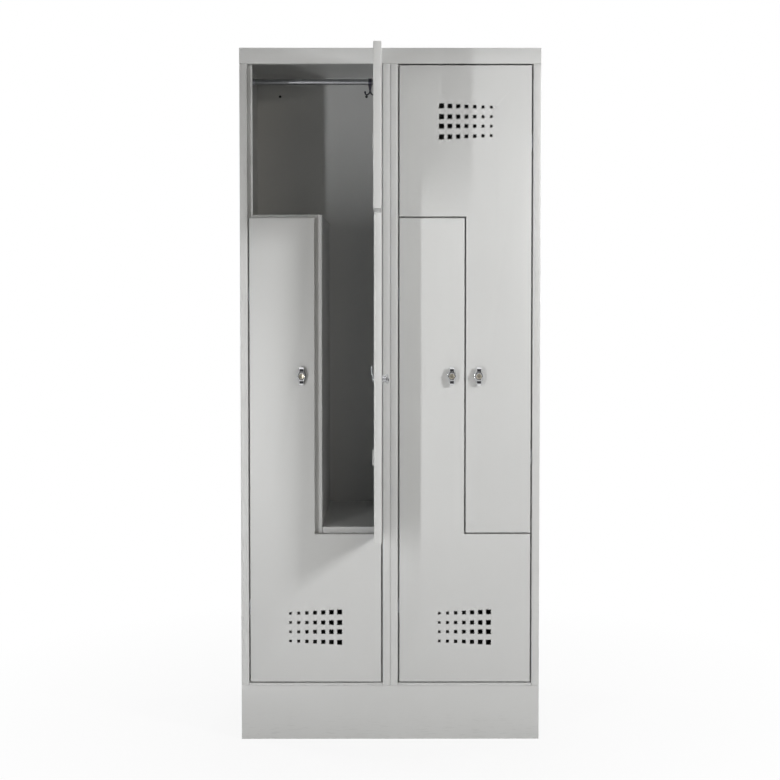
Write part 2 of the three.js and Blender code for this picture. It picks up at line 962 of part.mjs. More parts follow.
// One module: walls, floor, back, partition, rails with hooks, and two doors
function module(name, low, outerLeft, outerRight, upperAngle) {
  const group = new THREE.Group();
  const leftFace = outerLeft + sheet + seat;
  const rightFace = moduleWidth - outerRight - sheet - seat;
  const left = low + leftFace;
  const right = low + rightFace;
  const flangeStart = strikeEdge + seat;
  group.add(
    pieceOf(`${name}_module_left_wall`, sideWall(outerLeft, false, low), paint),
    pieceOf(`${name}_module_right_wall`, sideWall(outerRight, true, low), paint),
    pieceOf(`${name}_base_panel`, basePanel(left, right, low), innerPaint),
    pieceOf(
      `${name}_back_panel`,
      backPanel(low + outerLeft, low + moduleWidth - outerRight),
      innerPaint,
    ),
    pieceOf(`${name}_divider`, divider(low), innerPaint),
    pieceOf(
      `${name}_upper_shelf`,
      shelf(
        left,
        low + dividerRight - sheet - seat,
        low + flangeStart,
        low + dividerLeft - seat,
        upperShelfTop,
      ),
      innerPaint,
    ),
    pieceOf(
      `${name}_lower_shelf`,
      shelf(
        low + dividerRight + seat,
        right,
        low + dividerRight + seat,
        low + moduleWidth - flangeStart,
        lowerShelfTop,
      ),
      innerPaint,
    ),
  );

  const highRail = ceiling - railDrop;
  const lowRail = upperShelfTop - sheet - railDrop;
  const leftSocket = pieceOf(`${name}_left_rail_socket`, socket(), zinc);
  leftSocket.position.set(left, 0, highRail);
  const rightSocket = pieceOf(`${name}_right_rail_socket`, socket(), zinc);
  rightSocket.position.set(right, 0, highRail);
  rightSocket.rotation.z = halfTurn;
  const railStart = left + socketFlangeThickness + seat;
  const longLength = right - left - 2 * (socketFlangeThickness + seat);
  const upperRail = pieceOf(`${name}_upper_coat_rail`, longRail(longLength), zinc);
  upperRail.position.set(railStart, 0, highRail);
  const legRight = low + dividerRight - sheet - seat;
  const shortLength = legRight - left;
  const lowerRail = pieceOf(`${name}_lower_coat_rail`, shortRail(shortLength), zinc);
  lowerRail.position.set(left, 0, lowRail);
  const upperHook = pieceOf(`${name}_upper_coat_hook`, coatHook(), chrome);
  upperHook.position.set(right - hookInset, 0, highRail);
  const lowerHook = pieceOf(`${name}_lower_coat_hook`, coatHook(), chrome);
  lowerHook.position.set(left + shortLength / 2, 0, lowRail);
  group.add(leftSocket, rightSocket, upperRail, lowerRail, upperHook, lowerHook);

  group.add(door(`${name}_lower`, low, false, 0));
  group.add(door(`${name}_upper`, low, true, upperAngle));
  return group;
}

const locker = new THREE.Group();
locker.add(plinth());
locker.add(pieceOf("top_panel", topPanel(), paint));
locker.add(module("left", -moduleWidth, 0, seat / 2, quarterTurn));
locker.add(module("right", 0, seat / 2, 0, 0));

export default locker;
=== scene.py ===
"""Looks of a steel Z locker: its finishes and fine fittings, and the light and camera around it."""

import logging
import math
from collections.abc import Sequence
from dataclasses import dataclass
from enum import Enum, StrEnum

import bmesh
import bpy
from mathutils import Matrix, Vector


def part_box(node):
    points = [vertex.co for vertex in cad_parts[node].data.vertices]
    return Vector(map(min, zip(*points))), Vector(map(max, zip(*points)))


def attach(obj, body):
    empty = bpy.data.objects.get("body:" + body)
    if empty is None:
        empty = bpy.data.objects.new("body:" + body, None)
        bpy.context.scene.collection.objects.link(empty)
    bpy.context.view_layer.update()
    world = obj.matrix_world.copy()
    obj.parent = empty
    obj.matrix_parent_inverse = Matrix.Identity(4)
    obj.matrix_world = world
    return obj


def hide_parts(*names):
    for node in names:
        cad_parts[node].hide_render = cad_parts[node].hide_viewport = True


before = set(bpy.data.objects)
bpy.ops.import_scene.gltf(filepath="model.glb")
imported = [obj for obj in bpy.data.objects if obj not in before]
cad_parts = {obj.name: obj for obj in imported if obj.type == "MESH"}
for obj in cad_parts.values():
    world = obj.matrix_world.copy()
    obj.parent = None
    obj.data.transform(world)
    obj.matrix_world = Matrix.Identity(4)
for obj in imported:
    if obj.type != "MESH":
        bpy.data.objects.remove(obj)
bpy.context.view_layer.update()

MM = 0.001
QUARTER_TURN = math.pi / 2
HALF_TURN = math.pi
FULL_TURN = 2 * math.pi
HEX_TURN = FULL_TURN / 6
NOISE_MIDDLE = 0.5
BEVEL_ANGLE = math.radians(35)
BEVEL_SEGMENTS = 2
CABINET = "cabinet"

Colour = tuple[float, float, float]
Point = tuple[float, float, float]
Pair = tuple[float, float]
Ring = list[Vector]
Inputs = dict[int | str, object]

WHITE: Colour = (1.0, 1.0, 1.0)
WARM: Colour = (1.0, 0.93, 0.82)
DEPTH_AXIS = Vector((0.0, 1.0, 0.0))

log = logging.getLogger("z_locker")


class Slot(Enum):
    """The record's material slots."""

    OUTER = "outer_paint"
    INNER = "inner_paint"
    ZINC = "zinc_plate"
    CHROME = "chrome_plate"


class Trim(Enum):
    """Finishes that only the fine pieces take."""

    # DARK is a near-black painted shade for the grips' slots and the backs' fixing holes.
    DARK = "dark plastic"
    # SATIN is satin metal whose warm beige tone is a painted reflection.
    SATIN = "satin nickel"
    TUBE = "dull steel tube"
    HOOK = "dark cast zinc"


class Side(StrEnum):
    """A module, an end of its rail, or the edge that a door is hung from."""

    LEFT = "left"
    RIGHT = "right"


class Level(StrEnum):
    """Which of a module's two doors, rails or hooks it is."""

    UPPER = "upper"
    LOWER = "lower"


class Height(StrEnum):
    """Which of a door's two hinges it is, or of its grip's two slots."""

    LOW = "low"
    HIGH = "high"


class Facing(Enum):
    """Which way the outer face of a door looks at rest, as a turn about the upright axis."""

    FRONT = 0.0
    RIGHT = QUARTER_TURN


# Shader maths


class Value:
    """A number that a node gives; arithmetic on it adds Math nodes."""

    def __init__(self, shader: "Shader", socket: bpy.types.NodeSocket | None) -> None:
        """Keeps the socket and the shader it belongs to."""
        self.shader = shader
        self.socket = socket

    def step(self, operation: str, other: "Value | float") -> "Value":
        """Adds one Math node whose inputs are this value and another."""
        return self.shader.math_node(operation, self, other)

    def __add__(self, other: "Value | float") -> "Value":
        """Adds the other value."""
        return self.step("ADD", other)

    def __radd__(self, other: float) -> "Value":
        """Adds this value to a number."""
        return self.step("ADD", other)

    def __sub__(self, other: "Value | float") -> "Value":
        """Takes the other value away."""
        return self.step("SUBTRACT", other)

    def __rsub__(self, other: float) -> "Value":
        """Takes this value away from a number."""
        return self.shader.math_node("SUBTRACT", other, self)

    def __mul__(self, other: "Value | float") -> "Value":
        """Multiplies by the other value."""
        return self.step("MULTIPLY", other)

    def __rmul__(self, other: float) -> "Value":
        """Multiplies a number by this value."""
        return self.step("MULTIPLY", other)

    def __truediv__(self, other: "Value | float") -> "Value":
        """Divides by the other value."""
        return self.step("DIVIDE", other)

    def __rtruediv__(self, other: float) -> "Value":
        """Divides a number by this value."""
        return self.shader.math_node("DIVIDE", other, self)

    def held(self) -> "Value":
        """Holds this value between nought and one."""
        return self.step("MAXIMUM", 0.0).step("MINIMUM", 1.0)


class Shader:
    """A node tree, and the one method through which nodes are added to it."""

    mix_share = 0
    mix_first = 6
    mix_second = 7
    mix_result = 2

    def __init__(self, tree: bpy.types.NodeTree) -> None:
        """Takes a tree and empties it."""
        self.tree = tree
        tree.nodes.clear()

    def node(
        self,
        kind: str,
        settings: dict[str, object] | None = None,
        inputs: Inputs | None = None,
        output: int | str = 0,
    ) -> Value:
        """Adds a node.

        Args:
            kind: The node's type.
            settings: What is set on the node first; stops are those of a colour ramp.
            inputs: Values or links of its sockets, by index or name.
            output: Which output is wanted.

        Returns:
            The node's output.
        """
        made = self.tree.nodes.new(kind)
        for key, value in (settings or {}).items():
            if key == "stops":
                self._set_stops(made.color_ramp, value)
            else:
                setattr(made, key, value)
        for key, value in (inputs or {}).items():
            if isinstance(value, Value):
                self.tree.links.new(value.socket, made.inputs[key])
            else:
                made.inputs[key].default_value = value
        return Value(self, made.outputs[output] if len(made.outputs) else None)

    @staticmethod
    def _set_stops(ramp: bpy.types.ColorRamp, stops: Sequence[Pair]) -> None:
        """Sets the stops of a ramp.

        Args:
            ramp: The ramp.
            stops: The place and grey level of each stop.
        """
        while len(ramp.elements) < len(stops):
            ramp.elements.new(1.0)
        for element, (place, level) in zip(ramp.elements, stops):
            element.position = place
            element.color = (level, level, level, 1.0)

    def math_node(self, operation: str, first: Value | float, second: Value | float) -> Value:
        """Adds one Math node with two inputs."""
        return self.node("ShaderNodeMath", {"operation": operation}, {0: first, 1: second})

    def ramp(self, value: Value, stops: Sequence[Pair]) -> Value:
        """Passes a value through a colour ramp of grey stops."""
        return self.node("ShaderNodeValToRGB", {"stops": stops}, {0: value})

    def place(self) -> Value:
        """The point on the piece, in metres in the locker's own frame."""
        return self.node("ShaderNodeTexCoord", output="Object")

    def stretched(self, place: Value, stretch: Point) -> Value:
        """Multiplies a place along each axis."""
        return self.node("ShaderNodeVectorMath", {"operation": "MULTIPLY"}, {0: place, 1: stretch})

    def noise(self, place: Value, grain: float, detail: float = 2.0) -> Value:
        """Soft noise whose patches are about grain metres wide."""
        inputs = {"Vector": place, "Scale": 1 / grain, "Detail": detail}
        return self.node("ShaderNodeTexNoise", None, inputs, "Fac")

    def mixed(self, share: Value, first: Value | Colour, second: Value | Colour) -> Value:
        """Mixes two colours.

        Args:
            share: How much of the second colour is taken.
            first: The first colour.
            second: The second colour.

        Returns:
            The mixed colour.
        """
        inputs: Inputs = {self.mix_share: share}
        for key, value in ((self.mix_first, first), (self.mix_second, second)):
            inputs[key] = value if isinstance(value, Value) else (*value, 1.0)
        return self.node("ShaderNodeMix", {"data_type": "RGBA"}, inputs, self.mix_result)

    def bump(
        self,
        height: Value,
        depth: float,
        strength: float,
        under: Value | None = None,
    ) -> Value:
        """A normal that follows a height.

        Args:
            height: The height, from nought to one.
            depth: What a height of one measures, in metres.
            strength: The share of the bump that is used.
            under: A normal that this one adds to.

        Returns:
            The new normal.
        """
        inputs: Inputs = {"Height": height, "Distance": depth, "Strength": strength}
        if under is not None:
            inputs["Normal"] = under
        return self.node("ShaderNodeBump", None, inputs)

    def glow(self, kind: str, strength: float) -> Value:
        """White light of a strength, from an emission or a background node."""
        return self.node(kind, None, {"Color": (*WHITE, 1.0), "Strength": strength})

    def surface(self, inputs: Inputs) -> None:
        """Ends the tree in a Principled surface."""
        self.end(self.node("ShaderNodeBsdfPrincipled", None, inputs))

    def end(self, surface: Value, kind: str = "ShaderNodeOutputMaterial") -> None:
        """Ends the tree in a surface."""
        self.node(kind, None, {"Surface": surface})


def new_shader(name: str) -> tuple[bpy.types.Material, Shader]:
    """Makes an empty material.

    Args:
        name: The material's name.

    Returns:
        The material and its shader.
    """
    material = bpy.data.materials.new(name)
    material.use_nodes = True
    return material, Shader(material.node_tree)


# Finishes


@dataclass(frozen=True)
class Finish:
    """A finish, which each kind draws in its own way."""

    name: str

    def drawn(self, shader: Shader, place: Value) -> Inputs:
        """Gives the inputs of its Principled surface, from the point on the piece."""
        raise NotImplementedError(self.name)

    def material(self) -> bpy.types.Material:
        """Makes the material.

        Returns:
            The material.
        """
        material, shader = new_shader(self.name)
        shader.surface(self.drawn(shader, shader.place()))
        return material


@dataclass(frozen=True)
class PowderCoat(Finish):
    """Baked powder coat: fine orange peel, slow drifts of tone, faint hand marks and scuffs."""

    tone: Colour = (0.60, 0.605, 0.60)
    roughness: float = 0.42
    gloss_index: float = 1.5
    peel_grain: float = 1.3 * MM
    peel_detail: float = 1.0
    peel_depth: float = 0.1 * MM
    peel_strength: float = 0.5
    wave_grain: float = 160 * MM
    wave_detail: float = 0.0
    wave_depth: float = 0.8 * MM
    wave_strength: float = 0.1
    drift_grain: float = 260 * MM
    drift_share: float = 0.025
    drift_rough: float = 0.12
    speck_grain: float = 4 * MM
    speck_detail: float = 3.0
    speck_stops: tuple[Pair, ...] = ((0.60, 0.0), (0.72, 1.0))
    speck_share: float = 0.03
    speck_tint: float = -0.5
    speck_rough: float = 0.06
    touched: tuple[Point, ...] = ()
    touched_reach: float = 70 * MM
    smear_grain: float = 14 * MM
    smear_detail: float = 4.0
    smear_stops: tuple[Pair, ...] = ((0.42, 0.0), (0.68, 1.0))
    touched_share: float = 0.05
    touched_tint: float = -0.6
    touched_rough: float = 0.12
    scuff_height: float = 0.0
    scuff_grain: float = 36 * MM
    scuff_detail: float = 5.0
    scuff_stretch: Point = (1.0, 1.0, 9.0)
    scuff_stops: tuple[Pair, ...] = ((0.56, 0.0), (0.64, 1.0))
    scuff_share: float = 0.12
    scuff_tint: float = -0.75
    scuff_rough: float = 0.2

    def _tint(self, share: float) -> Colour:
        """The tone made lighter or darker by a share."""
        red, green, blue = self.tone
        return red * (1 + share), green * (1 + share), blue * (1 + share)

    def _hand_marks(self, shader: Shader, place: Value) -> Value | None:
        """Patches round the places that hands touch.

        Args:
            shader: The finish's shader.
            place: The point on the piece.

        Returns:
            How much of a mark there is, or None where the finish has none.
        """
        marks: Value | None = None
        for point in self.touched:
            ends = {0: place, 1: point}
            away = shader.node("ShaderNodeVectorMath", {"operation": "DISTANCE"}, ends, "Value")
            near = (1.0 - away / self.touched_reach).held()
            marks = near if marks is None else marks.step("MAXIMUM", near)
        if marks is None:
            return None
        smears = shader.noise(place, self.smear_grain, self.smear_detail)
        return marks * shader.ramp(smears, self.smear_stops)

    def _scuffs(self, shader: Shader, place: Value) -> Value | None:
        """Short level scrapes near the floor.

        Args:
            shader: The finish's shader.
            place: The point on the piece.

        Returns:
            How much of a scrape there is, or None where the finish has none.
        """
        if not self.scuff_height:
            return None
        height = shader.node("ShaderNodeSeparateXYZ", None, {0: place}, "Z")
        low = (1.0 - height / self.scuff_height).held()
        level = shader.stretched(place, self.scuff_stretch)
        lines = shader.noise(level, self.scuff_grain, self.scuff_detail)
        return low * shader.ramp(lines, self.scuff_stops)

    def drawn(self, shader: Shader, place: Value) -> Inputs:
        """Draws the coat.

        Args:
            shader: The finish's shader.
            place: The point on the piece.

        Returns:
            The inputs of its Principled surface.
        """
        drift = shader.noise(place, self.drift_grain)
        speck = shader.noise(place, self.speck_grain, self.speck_detail)
        colour = shader.mixed(drift, self._tint(-self.drift_share), self._tint(self.drift_share))
        dots = shader.ramp(speck, self.speck_stops) * self.speck_share
        colour = shader.mixed(dots, colour, self._tint(self.speck_tint))
        rough = self.roughness + (drift - NOISE_MIDDLE) * self.drift_rough
        rough = rough + (speck - NOISE_MIDDLE) * self.speck_rough
        marks = self._hand_marks(shader, place)
        if marks is not None:
            colour = shader.mixed(marks * self.touched_share, colour, self._tint(self.touched_tint))
            rough = rough + marks * self.touched_rough
        scuffs = self._scuffs(shader, place)
        if scuffs is not None:
            colour = shader.mixed(scuffs * self.scuff_share, colour, self._tint(self.scuff_tint))
            rough = rough + scuffs * self.scuff_rough
        peel = shader.noise(place, self.peel_grain, self.peel_detail)
        waves = shader.noise(place, self.wave_grain, self.wave_detail)
        normal = shader.bump(waves, self.wave_depth, self.wave_strength)
        return {
            "Base Color": colour,
            "Roughness": rough.held(),
            "Normal": shader.bump(peel, self.peel_depth, self.peel_strength, normal),
            "IOR": self.gloss_index,
        }


@dataclass(frozen=True)
class ZincPlate(Finish):
    """Zinc or dull steel: a cool metal with a soft spangle and fine lines of drawing."""

    name: str = "zinc plate"
    tone: Colour = (0.56, 0.575, 0.6)
    shade: Colour = (0.43, 0.445, 0.475)
    roughness: float = 0.34
    spangle_grain: float = 7 * MM
    spangle_share: float = 0.45
    spangle_rough: float = 0.16
    cloud_grain: float = 28 * MM
    cloud_detail: float = 3.0
    line_grain: float = 0.8 * MM
    line_stretch: Point = (0.04, 1.0, 1.0)
    line_depth: float = 0.03 * MM
    line_strength: float = 0.5
    line_rough: float = 0.05

    def drawn(self, shader: Shader, place: Value) -> Inputs:
        """Draws the plating.

        Args:
            shader: The finish's shader.
            place: The point on the piece.

        Returns:
            The inputs of its Principled surface.
        """
        inputs = {"Vector": place, "Scale": 1 / self.spangle_grain}
        cells = shader.node("ShaderNodeTexVoronoi", None, inputs, "Color")
        spangle = shader.node("ShaderNodeSeparateColor", None, {0: cells})
        lines = shader.noise(shader.stretched(place, self.line_stretch), self.line_grain)
        cloud = shader.noise(place, self.cloud_grain, self.cloud_detail)
        share = (spangle * self.spangle_share + cloud * (1 - self.spangle_share)).held()
        rough = self.roughness + (share - NOISE_MIDDLE) * self.spangle_rough
        return {
            "Base Color": shader.mixed(share, self.shade, self.tone),
            "Metallic": 1.0,
            "Roughness": (rough + lines * self.line_rough).held(),
            "Normal": shader.bump(lines, self.line_depth, self.line_strength),
        }


@dataclass(frozen=True)
class ChromePlate(Finish):
    """Polished chrome with faint smears and hairline rubs."""

    name: str = "chrome plate"
    tone: Colour = (0.78, 0.785, 0.8)
    shade: Colour = (0.66, 0.665, 0.68)
    roughness: float = 0.09
    smear_grain: float = 9 * MM
    smear_detail: float = 4.0
    smear_stops: tuple[Pair, ...] = ((0.45, 0.0), (0.75, 1.0))
    smear_share: float = 0.7
    smear_rough: float = 0.12
    rub_grain: float = 0.7 * MM
    rub_stretch: Point = (1.0, 1.0, 0.12)
    rub_stops: tuple[Pair, ...] = ((0.62, 0.0), (0.7, 1.0))
    rub_rough: float = 0.1
    wave_grain: float = 14 * MM
    wave_detail: float = 1.0
    wave_depth: float = 0.12 * MM
    wave_strength: float = 0.6

    def drawn(self, shader: Shader, place: Value) -> Inputs:
        """Draws the chrome.

        Args:
            shader: The finish's shader.
            place: The point on the piece.

        Returns:
            The inputs of its Principled surface.
        """
        patches = shader.noise(place, self.smear_grain, self.smear_detail)
        smears = shader.ramp(patches, self.smear_stops)
        lines = shader.noise(shader.stretched(place, self.rub_stretch), self.rub_grain)
        rubs = shader.ramp(lines, self.rub_stops)
        waves = shader.noise(place, self.wave_grain, self.wave_detail)
        rough = self.roughness + smears * self.smear_rough + rubs * self.rub_rough
        share = (smears * self.smear_share).held()
        return {
            "Base Color": shader.mixed(share, self.tone, self.shade),
            "Metallic": 1.0,
            "Roughness": rough.held(),
            "Normal": shader.bump(waves, self.wave_depth, self.wave_strength),
        }


@dataclass(frozen=True)
class GrainedFinish(Finish):
    """One tone that a fine grain shades, roughens and raises: moulded plastic or turned metal."""

    tone: Colour
    shade: Colour
    roughness: float
    grain: float
    depth: float
    grain_rough: float
    metal: float
    grain_detail: float = 3.0
    grain_strength: float = 0.5

    def drawn(self, shader: Shader, place: Value) -> Inputs:
        """Draws the grain.

        Args:
            shader: The finish's shader.
            place: The point on the piece.

        Returns:
            The inputs of its Principled surface.
        """
        grain = shader.noise(place, self.grain, self.grain_detail)
        rough = self.roughness + (grain - NOISE_MIDDLE) * self.grain_rough
        return {
            "Base Color": shader.mixed(grain, self.tone, self.shade),
            "Metallic": self.metal,
            "Roughness": rough.held(),
            "Normal": shader.bump(grain, self.depth, self.grain_strength),
        }


@dataclass(frozen=True)
class OuterCoat(PowderCoat):
    """The coat of the outside, with scuffs near the floor."""

    roughness: float = 0.40
    scuff_height: float = 90 * MM


DULL_TUBE = ZincPlate("dull steel tube", (0.44, 0.45, 0.47), (0.33, 0.335, 0.35), 0.42)
DARK_ZINC = ZincPlate("dark cast zinc", (0.13, 0.13, 0.15), (0.07, 0.07, 0.085), 0.36)
# Near-black painted shade: the finish of the inserts in the grips' slots and of the plugs in the
# backs' fixing holes.
PAINTED_SHADE_BLACK = GrainedFinish(
    name="dark plastic",
    tone=(0.006, 0.006, 0.009),
    shade=(0.012, 0.012, 0.015),
    roughness=0.6,
    grain=0.7 * MM,
    depth=0.05 * MM,
    grain_rough=0.2,
    metal=0.0,
)
# Satin metal whose warm beige tone is a painted reflection of something warm beside the grips.
SATIN_PAINTED_REFLECTION = GrainedFinish(
    name="satin nickel",
    tone=(0.44, 0.41, 0.34),
    shade=(0.28, 0.26, 0.21),
    roughness=0.3,
    grain=1.6 * MM,
    depth=0.06 * MM,
    grain_rough=0.25,
    metal=1.0,
)


# Meshes


def circle(radius: float, depth: float, sides: int) -> Ring:
    """A ring of corners about the depth axis, at one depth."""
    angles = (FULL_TURN * i / sides for i in range(sides))
    return [Vector((radius * math.cos(angle), depth, radius * math.sin(angle))) for angle in angles]


def oblong(left: float, right: float, low: float, high: float) -> list[Pair]:
    """The corners of an oblong, in order."""
    return [(left, low), (right, low), (right, high), (left, high)]


def square(half: float) -> list[Pair]:
    """The corners of a square, in order."""
    return oblong(-half, half, -half, half)


def level_ring(outline: Sequence[Pair], level: float) -> Ring:
    """A ring of corners at one height, from (x, y) pairs."""
    return [Vector((x, y, level)) for x, y in outline]


def upright_ring(outline: Sequence[Pair], depth: float) -> Ring:
    """A ring of corners at one depth, from (x, z) pairs."""
    return [Vector((x, depth, z)) for x, z in outline]


def linked(name: str, data: bpy.types.ID | None) -> bpy.types.Object:
    """Makes an object and links it to the scene.

    Args:
        name: The object's name.
        data: Its mesh, lamp or camera.

    Returns:
        The object.
    """
    made = bpy.data.objects.new(name, data)
    bpy.context.scene.collection.objects.link(made)
    return made


class Form:
    """A mesh while it is being made, in metres."""

    def __init__(self) -> None:
        """Starts an empty mesh."""
        self.mesh = bmesh.new()

    def stack(self, rings: Sequence[Ring], closed: bool = False) -> "Form":
        """Joins rings of the same count into one skin.

        Args:
            rings: The rings in order.
            closed: True where the last ring joins the first, and otherwise both ends are capped.

        Returns:
            This form.
        """
        made = [[self.mesh.verts.new(corner) for corner in ring] for ring in rings]
        pairs = list(zip(made, made[1:]))
        if closed:
            pairs.append((made[-1], made[0]))
        for low, high in pairs:
            for i in range(len(low)):
                after = (i + 1) % len(low)
                self.mesh.faces.new((low[i], low[after], high[after], high[i]))
        if not closed:
            self.mesh.faces.new(list(reversed(made[0])))
            self.mesh.faces.new(made[-1])
        return self

    def turned(self, profile: Sequence[Pair], sides: int, closed: bool = True) -> "Form":
        """Turns (radius, depth) pairs about the depth axis, and caps the ends of an open row."""
        rings = [circle(radius, depth, sides) for radius, depth in profile]
        return self.stack(rings, closed)

    def tube(self, path: Sequence[Vector], radius: float, sides: int, across: Vector) -> "Form":
        """Sweeps a round section along a path.

        Args:
            path: Points along the middle of the wire.
            radius: The wire's radius.
            sides: How many sides the wire has.
            across: A direction that is never along the path.

        Returns:
            This form.
        """
        rings = []
        for i, point in enumerate(path):
            ahead = path[min(i + 1, len(path) - 1)]
            behind = path[max(i - 1, 0)]
            along = (ahead - behind).normalized()
            side = along.cross(across).normalized()
            up = side.cross(along)
            ring = []
            for k in range(sides):
                angle = FULL_TURN * k / sides
                ring.append(point + radius * (side * math.cos(angle) + up * math.sin(angle)))
            rings.append(ring)
        return self.stack(rings)

    def ball(self, centre: Vector, radius: float, sides: int) -> "Form":
        """Adds a ball.

        Args:
            centre: The ball's middle.
            radius: The ball's radius.
            sides: How many sides it has round its equator.

        Returns:
            This form.
        """
        place = Matrix.Translation(centre)
        rows = sides // 2
        bmesh.ops.create_uvsphere(
            self.mesh,
            u_segments=sides,
            v_segments=rows,
            radius=radius,
            matrix=place,
        )
        return self

    def raised(self, outline: Sequence[Pair], low: float, high: float) -> "Form":
        """Stretches an outline of (x, y) pairs from one height to another."""
        return self.stack([level_ring(outline, level) for level in (low, high)])

    def deepened(self, outline: Sequence[Pair], front: float, back: float) -> "Form":
        """Stretches an outline of (x, z) pairs from one depth to another."""
        return self.stack([upright_ring(outline, depth) for depth in (front, back)])

    def moved(self, place: Matrix) -> "Form":
        """Moves what the form holds so far."""
        bmesh.ops.transform(self.mesh, matrix=place, verts=self.mesh.verts)
        return self

    def made(self, name: str, place: Matrix) -> bpy.types.Object:
        """Ends the mesh and links it as an object.

        Args:
            name: The piece's name.
            place: The matrix that carries the form into the locker's frame.

        Returns:
            The object, whose own matrix stays plain.
        """
        self.moved(place)
        bmesh.ops.recalc_face_normals(self.mesh, faces=self.mesh.faces)
        data = bpy.data.meshes.new(name)
        self.mesh.to_mesh(data)
        self.mesh.free()
        return linked(name, data)


def rounded(corners: Sequence[Pair], radius: float, steps: int) -> list[Pair]:
    """Rounds the corners of an outline.

    Args:
        corners: The outline, in order.
        radius: The radius at each corner.
        steps: How many straight pieces stand for each round.

    Returns:
        The new outline.
    """
    outline: list[Pair] = []
    for i, corner in enumerate(corners):
        here = Vector(corner)
        before = (Vector(corners[i - 1]) - here).normalized()
        after = (Vector(corners[(i + 1) % len(corners)]) - here).normalized()
        back = radius / math.tan(before.angle(after) / 2)
        start = here + before * back
        end = here + after * back
        for step in range(steps + 1):
            share = step / steps
            mid = start * (1 - share) ** 2 + here * 2 * share * (1 - share) + end * share**2
            outline.append((mid.x, mid.y))
    return outline


def apply_modifiers(piece: bpy.types.Object) -> None:
    """Puts a piece's modifiers into its mesh.

    Args:
        piece: The piece.
    """
    graph = bpy.context.evaluated_depsgraph_get()
    data = bpy.data.meshes.new_from_object(piece.evaluated_get(graph))
    piece.modifiers.clear()
    piece.data = data


def cut_with(piece: bpy.types.Object, cutters: Sequence[bpy.types.Object]) -> None:
    """Cuts other forms out of a piece, and removes them.

    Args:
        piece: The piece.
        cutters: The forms.
    """
    for cutter in cutters:
        cut = piece.modifiers.new("cut", "BOOLEAN")
        cut.object = cutter
        cut.operation = "DIFFERENCE"
        cut.solver = "EXACT"
    apply_modifiers(piece)
    for cutter in cutters:
        bpy.data.objects.remove(cutter)


def soften(piece: bpy.types.Object, width: float) -> None:
    """Bevels a piece's sharp edges.

    Args:
        piece: The piece.
        width: The bevel's width.
    """
    bevel = piece.modifiers.new("soft edges", "BEVEL")
    bevel.width = width
    bevel.segments = BEVEL_SEGMENTS
    bevel.limit_method = "ANGLE"
    bevel.angle_limit = BEVEL_ANGLE
    bevel.use_clamp_overlap = True
    apply_modifiers(piece)


# The bench where pieces get their finish and body


class Workshop:
    """Gives each piece its finish, its body and its line in the log."""

    smooth_angle = math.radians(32)
    merge_distance = 0.002 * MM

    def __init__(self, finishes: dict[Slot | Trim, bpy.types.Material]) -> None:
        """Keeps the finishes and makes the smoothing step that the frame's nodes share."""
        self.finishes = finishes
        self.smoothing = self._smoothing()

    def _smoothing(self) -> bpy.types.NodeTree:
        """A geometry step that shades bends smoothly and leaves wider folds sharp.

        Returns:
            The step's node tree.
        """
        tree = bpy.data.node_groups.new("smooth bends", "GeometryNodeTree")
        for way in ("INPUT", "OUTPUT"):
            tree.interface.new_socket("Geometry", in_out=way, socket_type="NodeSocketGeometry")
        steps = Shader(tree)
        shape = steps.node("NodeGroupInput")
        inputs: Inputs = {"Geometry": shape, "Name": "custom_normal"}
        shape = steps.node("GeometryNodeRemoveAttribute", None, inputs)
        inputs = {"Geometry": shape, "Distance": self.merge_distance}
        shape = steps.node("GeometryNodeMergeByDistance", None, inputs)
        shape = steps.node("GeometryNodeSetShadeSmooth", {"domain": "FACE"}, {"Geometry": shape})
        fold = steps.node("GeometryNodeInputMeshEdgeAngle", output="Unsigned Angle")
        limits = {"A": fold, "B": self.smooth_angle}
        sharp = steps.node("FunctionNodeCompare", {"operation": "GREATER_THAN"}, limits)
        inputs = {"Geometry": shape, "Selection": sharp, "Shade Smooth": False}
        shape = steps.node("GeometryNodeSetShadeSmooth", {"domain": "EDGE"}, inputs)
        steps.node("NodeGroupOutput", None, {0: shape})
        return tree

    def dress(self, node: str, slot: Slot) -> None:
        """Gives a node of the frame its finish and smooth bends.

        Args:
            node: The node's name.
            slot: Its slot in the record.
        """
        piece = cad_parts[node]
        if not piece.material_slots:
            piece.data.materials.append(None)
        for holder in piece.material_slots:
            holder.material = self.finishes[slot]
        bends = piece.modifiers.new("smooth bends", "NODES")
        bends.node_group = self.smoothing
        log.info("dressed %s in %s", node, slot.value)

    def hang(
        self,
        piece: bpy.types.Object,
        slot: Slot,
        body: str,
        stands_for: Sequence[str] = (),
        trim: Trim | None = None,
    ) -> None:
        """Finishes a new piece and lets it ride on a body.

        Args:
            piece: The piece, in place.
            slot: The slot whose finish it takes; where a trim is given, it is not used.
            body: The body that carries it.
            stands_for: The frame's nodes that it replaces.
            trim: A finish of its own, where it isn't that of the slot.
        """
        piece.data.materials.clear()
        piece.data.materials.append(self.finishes[trim or slot])
        piece.data.shade_smooth()
        piece.data.set_sharp_from_angle(angle=self.smooth_angle)
        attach(piece, body)
        if stands_for:
            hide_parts(*stands_for)
        log.info("made %s on %s", piece.name, body)


# Sub-assemblies


@dataclass
class Assembly:
    """A part of the locker, whose pieces go over the workshop's bench."""

    shop: Workshop


